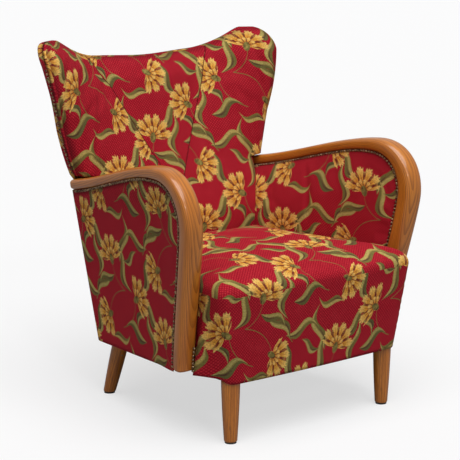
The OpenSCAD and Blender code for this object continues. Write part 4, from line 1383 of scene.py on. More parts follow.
@dataclass
class NailRow:
    """A row of decorative nails with domed heads.

    Attributes:
        name: The row's name.
        node: The row's node in the frame.
        places: Where the heads sit, one row each.
        outs: Directions square to the cloth there.
        radius: Radius of a head.
        height: Height of a head.
    """

    name: str
    node: str
    places: Array
    outs: Array
    radius: float = 4.2
    height: float = 2.8

    def build(self, iron: Material) -> Piece:
        """Make every head in the row: rings of nine points on an ellipsoid, closed by its pole.

        Args:
            iron: The finish.

        Returns:
            The row as one piece.
        """
        n = unit(self.outs)
        helper = np.where(np.abs(n[:, 2:]) > 0.9, [[1.0, 0.0, 0.0]], [[0.0, 0.0, 1.0]])
        u = unit(np.cross(helper, n))
        v = np.cross(n, u)
        a = np.linspace(0, 2 * np.pi, 10)
        up = np.radians([0.0, 0.0, 32.0, 62.0, 90.0])
        r = np.cos(up) * self.radius
        r[0] = 0.0
        h = np.sin(up) * self.height + 0.3
        ring = u[:, None, :] * np.cos(a)[None, :, None] + v[:, None, :] * np.sin(a)[None, :, None]
        heads = (self.places[:, None, None, :] + ring[:, None] * r[None, :, None, None]
                 + n[:, None, None, :] * h[None, :, None, None])
        piece = build_piece(self.name, [Patch(head) for head in heads])
        turn_outwards(piece)
        dress(piece, iron)
        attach(piece, "root")
        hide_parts(self.node)
        return piece


NAIL_PITCH = 10.0
NAIL_AWAY = 4.4  # distance of the heads from the cloth's edge
SEAT_NAILS = 7
SEAT_NAILS_Z = 186.0


def evenly(length: float) -> Array:
    """Return the nails' places along a length, the first half a pitch from its start."""
    return (np.arange(int(length / NAIL_PITCH)) + 0.5) * NAIL_PITCH


def beside(edge: Array, inner: Array, facing: float) -> tuple[Array, Array]:
    """Set nails beside an edge of the cloth.

    Args:
        edge: Points on the edge, one for each nail.
        inner: Points of the cloth further in.
        facing: Sign of X on the side to which the heads look.

    Returns:
        The heads' places and the directions square to the cloth there, each the cross product
        of the ways inwards and along.
    """
    inwards = inner - edge
    out = np.cross(inwards, np.gradient(edge, axis=0))
    return edge + unit(inwards) * NAIL_AWAY, out * (facing * np.sign(out[:, :1]))


def nail_rows() -> list[NailRow]:
    """Work out every row of nails: outer and inner panels, wings and the seat's returns.

    Returns:
        The rows, for both sides.
    """
    covers, b, seat = ArmCovers(Side.RIGHT), BACK, TightSeat()
    s = CORNER_S + evenly(ARM.length - CORNER_S)
    p = ARM.edge(s, covers.outer_away(s) + NAIL_AWAY)
    keep = p[:, 1] > OUT_LOW_FRONT_Z + NAIL_AWAY
    p, s = p[keep], s[keep]
    share = (ARM.length - s) / (ARM.length - CORNER_S)
    outer = np.column_stack([ARM.x(*p.T) + covers.proud(*p.T, share), p])
    q = np.array([[0.9, 1.0]])
    place = covers.inner_place(np.linspace(0, 1, 97)[:, None], q)
    y, z = place[..., 0], place[..., 1]
    deep = covers.pad_depth(y, q) + CLOTH_T + GAP
    line = np.concatenate([(ARM.x(y, z) - deep)[..., None], place], -1)
    run = run_along(line[:, 1], 0)
    at = evenly(run[-1])
    z = np.arange(b.waist_z + NAIL_PITCH, b.top_z + b.ear_rise - b.ear_r, NAIL_PITCH)
    w, top = b.half_width(z), b.top(np.ones_like(z))
    rim, skin = (b.skin(w - GAP - k, z, w, top, 1, GAP, 0.0) for k in (0.0, 6.0))
    rows = {
        "outer": (outer, np.tile([1.0, ARM.toe, -ARM.lean], (len(outer), 1))),
        "inner": beside(pick(at, run, line[:, 1]), pick(at, run, line[:, 0]), -1.0),
        "wing": beside(rim, skin, 1.0),
    }
    nails = [
        NailRow(f"{side.word}_{row}_heads", f"{side.word}_{row}_nails", *map(side.mirror, rows[row]))
        for side in Side
        for row in rows
    ]
    z = SEAT_NAILS_Z + np.arange(SEAT_NAILS) * NAIL_PITCH
    f = (z - seat.low_z) / (seat.edge_z - seat.low_z)
    plan = np.stack([seat.outline(float(k), 0, 0, 0)[seat.wrap - 1 : seat.wrap + 1] for k in f])
    inner, edge = (np.column_stack([plan[:, k], z]) for k in (0, 1))
    both = [np.vstack([part, Side.LEFT.mirror(part)]) for part in beside(edge, inner, 1.0)]
    return [*nails, NailRow("seat_heads", "seat_nails", *both)]


class NodeSheet:
    """A short way to write a material's node tree.

    Attributes:
        tree: The tree.
    """

    def __init__(self, tree: bpy.types.NodeTree) -> None:
        """Keep the tree."""
        self.tree = tree

    def put(self, kind: str, inputs: dict | None = None, **props: object) -> bpy.types.Node:
        """Add a node.

        Args:
            kind: The node's type.
            inputs: Values or sockets for its inputs, by name or number.
            props: Its properties.

        Returns:
            The node.
        """
        node = self.tree.nodes.new(kind)
        for key, value in props.items():
            setattr(node, key, value)
        self.fill(node, inputs or {})
        return node

    def fill(self, node: bpy.types.Node, inputs: dict) -> None:
        """Link or set a node's inputs, by name or number."""
        for key, value in inputs.items():
            self.join(value, node.inputs[key])

    def join(self, value: object, socket: Socket) -> None:
        """Link a socket, or set a plain value.

        Args:
            value: The socket or the value.
            socket: The input.
        """
        if isinstance(value, Socket):
            self.tree.links.new(value, socket)
        elif socket.type == "RGBA" and len(value) == 3:
            socket.default_value = (*value, 1.0)
        else:
            socket.default_value = value

    def math(self, operation: str, a: object, b: object = 0.0, c: object = 0.0) -> Socket:
        """Return the result of one calculation."""
        return self.put("ShaderNodeMath", {0: a, 1: b, 2: c}, operation=operation).outputs[0]

    def blend(self, share: object, a: object, b: object) -> Socket:
        """Return the blend of two colours."""
        return self.put("ShaderNodeMix", {0: share, 6: a, 7: b}, data_type="RGBA").outputs[2]

    def span(self, value: object, low: float, high: float, out_low: float = 0.0,
             out_high: float = 1.0) -> Socket:
        """Return a value carried smoothly from one range to another."""
        return self.put("ShaderNodeMapRange", {0: value, 1: low, 2: high, 3: out_low, 4: out_high},
                        interpolation_type="SMOOTHSTEP").outputs[0]

    def emboss(self, shader: bpy.types.Node, strength: float, distance: float,
               height: object) -> None:
        """Give a shader a relief, its distance in metres."""
        bump = self.put("ShaderNodeBump", {"Strength": strength, "Distance": distance, "Height": height})
        self.join(bump.outputs[0], shader.inputs["Normal"])

    def shades(self, value: object, stops: Sequence[tuple[float, Triple]]) -> Socket:
        """Return a colour from a ramp of stops.

        Args:
            value: Place on the ramp.
            stops: Places and colours.

        Returns:
            The colour.
        """
        node = self.put("ShaderNodeValToRGB", {0: value})
        marks = node.color_ramp.elements
        while len(marks) < len(stops):
            marks.new(0.5)
        for mark, (place, colour) in zip(marks, stops):
            mark.position = place
            mark.color = (*colour, 1.0)
        return node.outputs[0]

    def noise(self, where: object, scale: float, detail: float = 2.0, rough: float = 0.5) -> Socket:
        """Return fractal noise."""
        inputs = {"Vector": where, "Scale": scale, "Detail": detail, "Roughness": rough}
        return self.put("ShaderNodeTexNoise", inputs, noise_dimensions="3D").outputs[0]

    def scaled(self, where: object, factors: Triple) -> Socket:
        """Return a place stretched."""
        return self.put("ShaderNodeMapping", {0: where, 3: factors}).outputs[0]


def srgb(red: float, green: float, blue: float) -> Triple:
    """Return a colour given in 0 to 255 as the linear shares that a shader takes."""
    shares = (red / 255, green / 255, blue / 255)
    return tuple(((c + 0.055) / 1.055) ** 2.4 if c > 10 / 255 else c / 12.92 for c in shares)


def new_finish(name: str) -> tuple[Material, NodeSheet, bpy.types.Node]:
    """Start a material.

    Args:
        name: Its name.

    Returns:
        The material, its sheet of nodes and its shader.
    """
    material = bpy.data.materials.new(name)
    material.use_nodes = True
    return material, NodeSheet(material.node_tree), material.node_tree.nodes["Principled BSDF"]


@dataclass(frozen=True)
class ShowWood:
    """Polished wood with long cathedral grain and fine dark pores.

    Attributes:
        light: Colour between the rings.
        middle: Colour of the broad clouds.
        dark: Colour of the rings.
        pore: Colour of the pores.
        roughness: Roughness of the polish.
    """

    light: Triple = srgb(212, 129, 40)
    middle: Triple = srgb(175, 95, 24)
    dark: Triple = srgb(118, 54, 10)
    pore: Triple = srgb(72, 30, 8)
    roughness: float = 0.3

    def make(self) -> Material:
        """Make the finish. Its rings lie about a far pith that slants along the grain.

        Returns:
            The finish.
        """
        material, sheet, shader = new_finish("show_wood")
        grain = sheet.put("ShaderNodeAttribute", attribute_name="grain").outputs["Vector"]
        drift = sheet.noise(sheet.scaled(grain, (3.0, 16.0, 16.0)), 1.0, 2.0)
        pith = (0.0, 0.02, 0.034)
        bent = sheet.put("ShaderNodeVectorMath", {0: grain, 1: pith}, operation="ADD").outputs[0]
        parts = sheet.put("ShaderNodeSeparateXYZ", {0: bent})
        slant = sheet.math("MULTIPLY", parts.outputs[0], 0.06)
        across = parts.outputs[1]
        depth = sheet.math("ADD", parts.outputs[2], slant)
        far = sheet.math("SQRT", sheet.math("ADD", sheet.math("MULTIPLY", across, across),
                                            sheet.math("MULTIPLY", depth, depth)))
        wavy = sheet.math("ADD", far, sheet.math("MULTIPLY", drift, 0.011))
        ring = sheet.math("FRACT", sheet.math("MULTIPLY", wavy, 230.0))
        band = sheet.span(ring, 0.35, 1.0)
        fine = sheet.noise(sheet.scaled(grain, (14.0, 700.0, 700.0)), 1.0, 3.0, 0.6)
        pores = sheet.span(fine, 0.56, 0.66)
        broad = sheet.noise(sheet.scaled(grain, (5.0, 30.0, 30.0)), 1.0, 3.0)
        base = sheet.blend(sheet.math("MULTIPLY", band, 0.55), self.light, self.dark)
        base = sheet.blend(sheet.span(broad, 0.35, 0.7, 0.0, 0.55), base, self.middle)
        base = sheet.blend(sheet.math("MULTIPLY", pores, 0.5), base, self.pore)
        rough = sheet.math("ADD", sheet.math("MULTIPLY", fine, 0.16), self.roughness - 0.06)
        sheet.emboss(shader, 0.12, 0.0004, sheet.math("SUBTRACT", 1.0, pores))
        sheet.fill(shader, {"Base Color": base, "Roughness": rough,
                            "Coat Weight": 0.5, "Coat Roughness": 0.1})
        return material


@dataclass(frozen=True)
class PlainFinish:
    """A quiet finish for a part of the frame that hardly shows.

    Attributes:
        name: The finish's name.
        light: Its lighter colour.
        dark: Its darker colour.
        scale: Scale of its mottling along X, Y and Z.
        roughness: Its roughness.
        metallic: Its metallic share.
        bump: Height of its relief, in metres.
    """

    name: str
    light: Triple
    dark: Triple
    scale: Triple = (60.0, 60.0, 60.0)
    roughness: float = 0.6
    metallic: float = 0.0
    bump: float = 0.0003

    def make(self) -> Material:
        """Make the finish from two shades mottled by noise.

        Returns:
            The finish.
        """
        material, sheet, shader = new_finish(self.name)
        where = sheet.put("ShaderNodeTexCoord").outputs["Object"]
        cloud = sheet.noise(sheet.scaled(where, self.scale), 1.0, 4.0, 0.6)
        colour = sheet.blend(sheet.span(cloud, 0.3, 0.7), self.dark, self.light)
        rough = sheet.math("ADD", sheet.math("MULTIPLY", cloud, 0.2), self.roughness - 0.1)
        sheet.emboss(shader, 0.3, self.bump, cloud)
        sheet.fill(shader, {"Base Color": colour, "Roughness": rough, "Metallic": self.metallic})
        return material


@dataclass(frozen=True)
class WovenFinish:
    """A coarse plain weave, such as hessian or webbing.

    Attributes:
        name: The finish's name.
        light: Colour of the yarn.
        dark: Colour between the yarns.
        pitch: Spacing of the yarns, in metres.
    """

    name: str
    light: Triple
    dark: Triple
    pitch: float

    def make(self) -> Material:
        """Make the finish: two crossing sine ribs, over and under each other in turn.

        Returns:
            The finish.
        """
        material, sheet, shader = new_finish(self.name)
        where = sheet.put("ShaderNodeTexCoord").outputs["Object"]
        parts = sheet.put("ShaderNodeSeparateXYZ", {0: where})
        turn = math.pi / self.pitch
        across = sheet.math("SINE", sheet.math("MULTIPLY", parts.outputs[0], turn))
        side_on = sheet.math("ADD", parts.outputs[1], parts.outputs[2])
        along = sheet.math("SINE", sheet.math("MULTIPLY", side_on, turn))
        weave = sheet.math("ABSOLUTE", sheet.math("MULTIPLY", across, along))
        fuzz = sheet.noise(where, 900.0, 3.0)
        mixed = sheet.math("MULTIPLY", sheet.math("ADD", weave, fuzz), 0.6)
        colour = sheet.blend(sheet.span(mixed, 0.15, 0.7), self.dark, self.light)
        sheet.emboss(shader, 0.5, self.pitch / 3, weave)
        sheet.fill(shader, {"Base Color": colour, "Roughness": 0.9})
        return material


@dataclass(frozen=True)
class AgedIron:
    """Antique nail heads: near-black bronze, rubbed brighter in spots.

    Attributes:
        dark: The bronze's colour.
        rubbed: Its colour where it is rubbed.
        metallic: Its metallic share.
    """

    dark: Triple = srgb(70, 48, 34)
    rubbed: Triple = srgb(200, 170, 130)
    metallic: float = 0.85

    def make(self) -> Material:
        """Make the finish from noise between the two colours.

        Returns:
            The finish.
        """
        material, sheet, shader = new_finish("aged_nail")
        where = sheet.put("ShaderNodeTexCoord").outputs["Object"]
        spots = sheet.noise(where, 260.0, 3.0, 0.6)
        colour = sheet.blend(sheet.span(spots, 0.42, 0.66), self.dark, self.rubbed)
        rough = sheet.span(spots, 0.3, 0.8, 0.45, 0.3)
        sheet.emboss(shader, 0.4, 0.0003, spots)
        sheet.fill(shader, {"Base Color": colour, "Roughness": rough, "Metallic": self.metallic})
        return material


@dataclass(frozen=True)
class Repeat:
    """The cloth's repeat: columns of figures, each dropped by half a height from the last.

    Attributes:
        width: Width of the repeat, in metres.
        height: Its height, in metres.
    """

    width: float = 0.26
    height: float = 0.34

    @property
    def drop(self) -> float:
        """Return the slope by which the half drop shears the pattern."""
        return self.height / (2 * self.width)

    def anchor(self, x: float, y: float) -> Triple:
        """Return a figure's place in the sheared cloth."""
        return (x, y - x * self.drop, 0.0)

    def axes(self, heading: float, size: float) -> tuple[Triple, Triple]:
        """Return the two directions that measure a figure along and across its heading.

        Args:
            heading: Direction of the figure, in degrees from the cloth's right.
            size: Length that counts as one.

        Returns:
            Both directions, with the shear undone.
        """
        c, s = math.cos(math.radians(heading)), math.sin(math.radians(heading))
        along = ((c + self.drop * s) / size, s / size, 0.0)
        across = ((-s + self.drop * c) / size, c / size, 0.0)
        return along, across


REPEAT = Repeat()


@dataclass(frozen=True)
class Figure:
    """One figure of the cloth.

    Attributes:
        x: Place of its middle, or of a blossom's cup, across the repeat, in metres.
        y: The same up the repeat.
        heading: Its direction, in degrees from the cloth's right.
        size: Its length, or the reach of a blossom's longest petals, in metres.
    """

    x: float
    y: float
    heading: float
    size: float

    def shape(self) -> dict[str, float]:
        """Return the values that only this kind of figure has."""
        return {}


@dataclass(frozen=True)
class Leaf(Figure):
    """One long leaf, from stalk to tip.

    Attributes:
        width: Greatest half width as a share of the length.
        bow: Bow of the midrib as a share of the length.
        sway: Sway of the midrib as a share of the length.
        dusk: How green, from 0 for olive to 1 for dark green.
    """

    width: float
    bow: float
    sway: float
    dusk: float

    def shape(self) -> dict[str, float]:
        """Return the leaf's own values."""
        return {"Width": self.width, "Bow": self.bow, "Sway": self.sway, "Dusk": self.dusk}


class Blossom(Figure):
    """One ragged golden blossom, its petals fanned out from a green cup."""


@dataclass(frozen=True)
class Stem(Figure):
    """A thin curved stem: part of a circle.

    Attributes:
        bow: Rise of the arc as a share of its chord.
    """

    bow: float

    def shape(self) -> dict[str, float]:
        """Return the stem's own value."""
        return {"Bow": self.bow}


BLOSSOMS = (
    Blossom(0.062, 0.078, 72.0, 0.066),
    Blossom(0.200, 0.160, 152.0, 0.064),
    Blossom(0.088, 0.258, -30.0, 0.062),
)
STEMS = (
    Stem(0.031, 0.039, 51.5, 0.100, -0.16),
    Stem(0.245, 0.118, 124.0, 0.125, 0.20),
    Stem(0.044, 0.299, -43.0, 0.120, 0.18),
    Stem(0.150, 0.020, 96.0, 0.150, 0.14),
)
LEAVES = (
    Leaf(0.008, 0.142, 104.0, 0.140, 0.090, 0.14, 0.09, 0.15),
    Leaf(0.122, 0.140, 36.0, 0.115, 0.110, -0.13, 0.09, 0.45),
    Leaf(0.146, 0.072, 84.0, 0.130, 0.085, 0.12, -0.10, 0.15),
    Leaf(0.214, 0.062, 16.0, 0.110, 0.125, 0.10, 0.10, 0.75),
    Leaf(0.250, 0.232, 68.0, 0.135, 0.090, -0.13, 0.08, 0.25),
    Leaf(0.160, 0.236, 112.0, 0.120, 0.095, 0.14, -0.08, 0.65),
    Leaf(0.196, 0.306, 6.0, 0.125, 0.095, 0.13, 0.10, 0.15),
    Leaf(0.110, 0.328, 142.0, 0.105, 0.110, -0.13, 0.07, 0.45),
    Leaf(0.030, 0.214, 168.0, 0.095, 0.105, 0.13, 0.09, 0.05),
    Leaf(0.092, 0.010, -26.0, 0.095, 0.110, 0.13, 0.08, 0.6),
    Leaf(0.176, 0.112, 132.0, 0.085, 0.100, -0.15, 0.07, 0.9),
    Leaf(0.226, 0.272, 150.0, 0.080, 0.120, 0.12, -0.08, 0.5),
)


def start_group(name: str, *titles: str) -> tuple[bpy.types.NodeTree, NodeSheet, dict[str, Socket]]:
    """Start a node group for one kind of figure, which is laid over what is under it.

    Args:
        name: The group's name.
        titles: Names of the values that only this kind of figure has.

    Returns:
        The group, its sheet and its inputs by name, with the place along and across the figure.
    """
    tree = bpy.data.node_groups.new(name, "ShaderNodeTree")
    inputs = dict.fromkeys(("Where", "Anchor", "Along", "Across"), "NodeSocketVector")
    inputs |= {"Under": "NodeSocketColor"} | dict.fromkeys(("Relief", *titles), "NodeSocketFloat")
    for title, kind in inputs.items():
        tree.interface.new_socket(title, in_out="INPUT", socket_type=kind)
    for title, kind in (("Colour", "NodeSocketColor"), ("Relief", "NodeSocketFloat")):
        tree.interface.new_socket(title, in_out="OUTPUT", socket_type=kind)
    sheet = NodeSheet(tree)
    entry = sheet.put("NodeGroupInput")
    ports = {title: entry.outputs[title] for title in inputs}
    kind = "ShaderNodeVectorMath"
    away = sheet.put(kind, {0: ports["Where"], 1: ports["Anchor"]}, operation="SUBTRACT").outputs[0]
    half = (REPEAT.width / 2, REPEAT.height / 2, 1.0)
    low = tuple(-k for k in half)
    near = sheet.put(kind, {0: away, 1: half, 2: low}, operation="WRAP").outputs[0]
    for title in ("Along", "Across"):
        node = sheet.put(kind, {0: near, 1: ports[title]}, operation="DOT_PRODUCT")
        ports[title] = node.outputs["Value"]
    return tree, sheet, ports


def end_group(sheet: NodeSheet, ports: dict[str, Socket], colour: object, cover: object,
              relief: float) -> None:
    """Lay a figure over what is under it.

    Args:
        sheet: The group's sheet.
        ports: The group's inputs.
        colour: The figure's colour.
        cover: Where it covers, 0 or 1.
        relief: Height of its surface there.
    """
    over = sheet.blend(cover, ports["Under"], colour)
    rise = sheet.math("SUBTRACT", relief, ports["Relief"])
    height = sheet.math("MULTIPLY_ADD", rise, cover, ports["Relief"])
    sheet.put("NodeGroupOutput", {"Colour": over, "Relief": height})


def leaf_group() -> bpy.types.NodeTree:
    """Draw one leaf: a lance shape about a swaying midrib, light above it and darker below.

    Returns:
        The group.
    """
    tree, sheet, ports = start_group("leaf", "Width", "Bow", "Sway", "Dusk")
    t, w = ports["Along"], ports["Across"]
    arch = sheet.math("MULTIPLY_ADD", sheet.math("MULTIPLY", t, t), -4.0, 1.0)
    wave = sheet.math("SINE", sheet.math("MULTIPLY", t, 7.2))
    rib = sheet.math("MULTIPLY_ADD", wave, ports["Sway"], sheet.math("MULTIPLY", arch, ports["Bow"]))
    off = sheet.math("SUBTRACT", w, rib)
    lance = sheet.math("POWER", sheet.math("MAXIMUM", arch, 0.0), 1.25)
    lean = sheet.math("MULTIPLY_ADD", t, -0.8, 1.15)
    half = sheet.math("MULTIPLY", sheet.math("MULTIPLY", lance, lean), ports["Width"])
    rim = sheet.math("SUBTRACT", half, sheet.math("ABSOLUTE", off))
    cover = sheet.span(rim, 0.0, 0.006)
    side = sheet.math("DIVIDE", off, sheet.math("MAXIMUM", half, 0.001))
    upper = sheet.span(side, -0.35, 0.2)
    light = sheet.blend(ports["Dusk"], srgb(206, 186, 102), srgb(164, 156, 86))
    dark = sheet.blend(ports["Dusk"], srgb(138, 130, 68), srgb(92, 98, 58))
    colour = sheet.blend(upper, dark, light)
    crest = sheet.span(sheet.math("ABSOLUTE", sheet.math("SUBTRACT", side, 0.45)), 0.35, 0.0)
    colour = sheet.blend(sheet.math("MULTIPLY", crest, 0.35), colour, srgb(226, 210, 136))
    streak = sheet.span(sheet.math("ABSOLUTE", sheet.math("ADD", side, 0.12)), 0.38, 0.05)
    streak = sheet.math("MULTIPLY", streak, sheet.span(t, 0.22, -0.25))
    colour = sheet.blend(sheet.math("MULTIPLY", streak, 0.85), colour, srgb(70, 30, 44))
    fine = sheet.math("SINE", sheet.math("MULTIPLY", side, 15.0))
    colour = sheet.blend(sheet.math("MULTIPLY", sheet.math("ABSOLUTE", fine), 0.16), colour, srgb(88, 80, 40))
    edge = sheet.span(rim, 0.014, 0.0)
    colour = sheet.blend(sheet.math("MULTIPLY", edge, 0.35), colour, srgb(92, 78, 40))
    end_group(sheet, ports, colour, cover, 0.75)
    return tree


def stem_group() -> bpy.types.NodeTree:
    """Draw one stem: a thin band about a shallow arc, tapering a little to its ends.

    Returns:
        The group.
    """
    tree, sheet, ports = start_group("stem", "Bow")
    t, w = ports["Along"], ports["Across"]
    arch = sheet.math("MULTIPLY_ADD", sheet.math("MULTIPLY", t, t), -4.0, 1.0)
    off = sheet.math("ABSOLUTE", sheet.math("SUBTRACT", w, sheet.math("MULTIPLY", arch, ports["Bow"])))
    half = sheet.math("MULTIPLY_ADD", t, -0.007, 0.011)
    inside = sheet.span(arch, -0.02, 0.02)
    cover = sheet.math("MULTIPLY", sheet.span(sheet.math("SUBTRACT", half, off), 0.0, 0.005), inside)
    end_group(sheet, ports, srgb(134, 124, 66), cover, 0.7)
    return tree


def blossom_group() -> bpy.types.NodeTree:
    """Draw one blossom from the side.

    The outline is a reach that falls off round the cup, cut by the petals' gaps and by teeth
    at the tips. A second, shorter row of petals lies over it, plum streaks run out of the
    heart, and a green cup closes it.

    Returns:
        The group.
    """
    tree, sheet, ports = start_group("blossom")
    x, y = ports["Along"], ports["Across"]
    reach = sheet.math("SQRT", sheet.math("MULTIPLY_ADD", x, x, sheet.math("MULTIPLY", y, y)))
    turn = sheet.math("ARCTAN2", y, x)
    mess = sheet.noise(ports["Where"], 95.0, 2.0)
    wobble = sheet.math("MULTIPLY_ADD", mess, 0.22, turn)
    fan = sheet.span(sheet.math("COSINE", turn), -0.35, 0.2, 0.2, 1.0)
    colour, cover = None, None
    petals = 5.5
    for share, shift, base in ((1.0, 0.0, srgb(240, 172, 68)), (0.46, 0.8, srgb(246, 184, 82))):
        beat = sheet.math("ABSOLUTE", sheet.math("COSINE", sheet.math("MULTIPLY_ADD", wobble, petals, shift)))
        lobe = sheet.math("POWER", beat, 0.4)
        teeth = sheet.math("SINE", sheet.math("MULTIPLY", wobble, petals * 9.0))
        outline = sheet.math("MULTIPLY_ADD", lobe, 0.36, sheet.math("MULTIPLY_ADD", teeth, 0.05, 0.6))
        outline = sheet.math("MULTIPLY", sheet.math("MULTIPLY", outline, fan), share)
        depth = sheet.math("DIVIDE", reach, sheet.math("MAXIMUM", outline, 0.01))
        petal = sheet.shades(depth, ((0.12, srgb(92, 20, 34)), (0.32, srgb(206, 116, 44)), (0.6, base),
                                     (1.0, srgb(255, 216, 122))))
        gap = sheet.math("MULTIPLY", sheet.span(beat, 0.6, 0.3), sheet.span(depth, 1.2, 0.75))
        petal = sheet.blend(sheet.math("MULTIPLY", gap, 0.95), petal, srgb(112, 12, 34))
        ray = sheet.math("ABSOLUTE", sheet.math("SINE", sheet.math("MULTIPLY", wobble, petals * 3.0)))
        ray = sheet.math("MULTIPLY", sheet.span(ray, 0.42, 0.05), sheet.span(depth, 0.95, 0.4))
        petal = sheet.blend(sheet.math("MULTIPLY", ray, 0.75), petal, srgb(130, 40, 38))
        mask = sheet.span(depth, 1.02, 0.96)
        if colour is None:
            colour, cover = petal, mask
        else:
            colour = sheet.blend(mask, colour, petal)
            cover = sheet.math("MAXIMUM", cover, mask)
    squat = sheet.math("MULTIPLY", sheet.math("ADD", x, 0.06), 0.62)
    place = sheet.put("ShaderNodeCombineXYZ", {0: squat, 1: y}).outputs[0]
    heart = sheet.put("ShaderNodeVectorMath", {0: place}, operation="LENGTH").outputs["Value"]
    cup = sheet.span(heart, 0.15, 0.135)
    green = sheet.shades(sheet.math("ADD", heart, mess),
                         ((0.4, srgb(172, 158, 84)), (0.6, srgb(130, 122, 64)), (0.75, srgb(84, 62, 44))))
    colour = sheet.blend(cup, colour, green)
    cover = sheet.math("MAXIMUM", cover, cup)
    end_group(sheet, ports, colour, cover, 1.0)
    return tree


@dataclass(frozen=True)
class CoverCloth:
    """Crimson figured cloth: golden blossoms and long olive leaves on a fine diamond weave.

    Attributes:
        ground: The ground's colour.
        deep: Its shade in the weave's hollows.
        light: Its shade on the weave's crests.
        diamond: Size of a woven diamond, in metres.
        yarn: Spacing of the yarns, in metres.
        roughness: Roughness of the cloth.
    """

    ground: Triple = srgb(178, 16, 38)
    deep: Triple = srgb(140, 5, 27)
    light: Triple = srgb(206, 50, 62)
    diamond: float = 0.0085
    yarn: float = 0.0011
    roughness: float = 0.82

    def make(self) -> Material:
        """Make the cloth: ground, stems, leaves, blossoms, weave, and painted shade along its seams and
        edges.

        Returns:
            The finish.
        """
        material, sheet, shader = new_finish("cover_cloth")
        seam = sheet.put("ShaderNodeAttribute", attribute_name="seam").outputs["Fac"]
        inner = sheet.math("LESS_THAN", seam, 0.0)
        shift = sheet.put("ShaderNodeVectorMath", {0: (0.11, 0.07, 0.0)}, operation="SCALE")
        sheet.join(inner, shift.inputs["Scale"])
        flat = sheet.put("ShaderNodeUVMap", uv_map="pattern").outputs[0]
        where = sheet.put("ShaderNodeVectorMath", {0: flat, 1: shift.outputs[0]}, operation="ADD").outputs[0]
        parts = sheet.put("ShaderNodeSeparateXYZ", {0: where})
        u, v = parts.outputs[0], parts.outputs[1]
        lines = []
        for sign in (1.0, -1.0):
            slant = sheet.math("MULTIPLY", sheet.math("MULTIPLY_ADD", u, sign, v), math.pi / self.diamond)
            lines.append(sheet.math("ABSOLUTE", sheet.math("SINE", slant)))
        lattice = sheet.math("MINIMUM", *lines)
        cloud = sheet.noise(where, 22.0, 3.0, 0.6)
        ground = sheet.shades(lattice, ((0.06, self.deep), (0.36, self.ground), (0.8, self.light)))
        ground = sheet.blend(sheet.span(cloud, 0.45, 0.8, 0.0, 0.4), ground, self.light)
        sheared = sheet.put("ShaderNodeCombineXYZ",
                            {0: u, 1: sheet.math("MULTIPLY_ADD", u, -REPEAT.drop, v)}).outputs[0]
        colour, relief = ground, 0.0
        for group, figures in ((stem_group(), STEMS), (leaf_group(), LEAVES), (blossom_group(), BLOSSOMS)):
            for figure in figures:
                colour, relief = self.lay(sheet, group, figure, sheared, colour, relief)
        fuzz = sheet.noise(where, 260.0, 3.0, 0.8)
        colour = sheet.blend(sheet.span(fuzz, 0.4, 0.62, 0.0, 0.4), colour, srgb(76, 6, 18))
        # Painted shade along seams and darts, the same line also sunk into the relief as a groove.
        seam_groove_shade = sheet.span(sheet.math("ABSOLUTE", seam), 0.0022, 0.0006)
        colour = sheet.blend(sheet.math("MULTIPLY", seam_groove_shade, 0.8), colour, srgb(60, 4, 12))
        # Painted shade beside edges, seams and the wood, taken from the mesh's layer.
        painted_shade = sheet.put("ShaderNodeAttribute", attribute_name="painted_shade").outputs["Fac"]
        colour = sheet.blend(sheet.math("MULTIPLY", painted_shade, 0.55), colour, srgb(58, 6, 14))
        warp = sheet.math("SINE", sheet.math("MULTIPLY", u, 2 * math.pi / self.yarn))
        weft = sheet.math("SINE", sheet.math("MULTIPLY", v, 2 * math.pi / self.yarn))
        weave = sheet.math("MULTIPLY_ADD", warp, weft, sheet.math("MULTIPLY", lattice, 1.6))
        height = sheet.math("MULTIPLY_ADD", relief, 0.8, sheet.math("MULTIPLY_ADD", seam_groove_shade, -6.0, weave))
        sheet.emboss(shader, 0.35, 0.0003, height)
        sheet.fill(shader, {
            "Base Color": colour, "Roughness": self.roughness, "Specular IOR Level": 0.1,
            "Sheen Weight": 0.08, "Sheen Tint": (0.75, 0.16, 0.18), "Sheen Roughness": 0.5,
        })
        return material

    def lay(self, sheet: NodeSheet, group: bpy.types.NodeTree, figure: Figure, where: Socket,
            colour: object, relief: object) -> tuple[Socket, Socket]:
        """Lay one figure over the cloth so far.

        Args:
            sheet: The material's sheet.
            group: The node group of that kind of figure.
            figure: The figure.
            where: Place in the sheared cloth.
            colour: Colour so far.
            relief: Relief so far.

        Returns:
            Colour and relief with the figure.
        """
        along, across = REPEAT.axes(figure.heading, figure.size)
        values = {"Where": where, "Anchor": REPEAT.anchor(figure.x, figure.y), "Along": along,
                  "Across": across, "Under": colour, "Relief": relief}
        node = sheet.put("ShaderNodeGroup", values | figure.shape(), node_tree=group)
        return node.outputs["Colour"], node.outputs["Relief"]


def dress_frame_nodes() -> None:
    """Give every carried-over node of the frame its own procedural finish."""
    beech = PlainFinish("beech", srgb(222, 190, 146), srgb(190, 150, 104), (90.0, 14.0, 14.0)).make()
    steel = PlainFinish("spring_steel", srgb(150, 152, 156), srgb(96, 98, 102), roughness=0.4,
                        metallic=1.0).make()
    glide = PlainFinish("glide", srgb(60, 54, 48), srgb(36, 32, 28), roughness=0.5).make()
    felt = PlainFinish("dust_cloth", srgb(52, 48, 46), srgb(30, 28, 27), (400.0,) * 3, roughness=0.95).make()
    hessian = WovenFinish("hessian", srgb(186, 156, 108), srgb(110, 86, 52), 0.0022).make()
    webbing = WovenFinish("webbing", srgb(206, 186, 148), srgb(126, 92, 60), 0.0030).make()
    choices = (
        (("webbing",), webbing), (("hessian",), hessian), (("dust_cover",), felt), (("glides",), glide),
        (("bolts", "springs"), steel), (("pad",), hessian),
    )
    for name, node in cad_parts.items():
        finish = beech
        for words, material in choices:
            if any(word in name for word in words):
                finish = material
        for spot in node.material_slots:
            spot.material = finish


def direction(azimuth: float, elevation: float) -> Vector:
    """Return the direction from the chair to a place round it, in degrees, 0 in front."""
    a, e = math.radians(azimuth), math.radians(elevation)
    return Vector((math.sin(a) * math.cos(e), -math.cos(a) * math.cos(e), math.sin(e)))


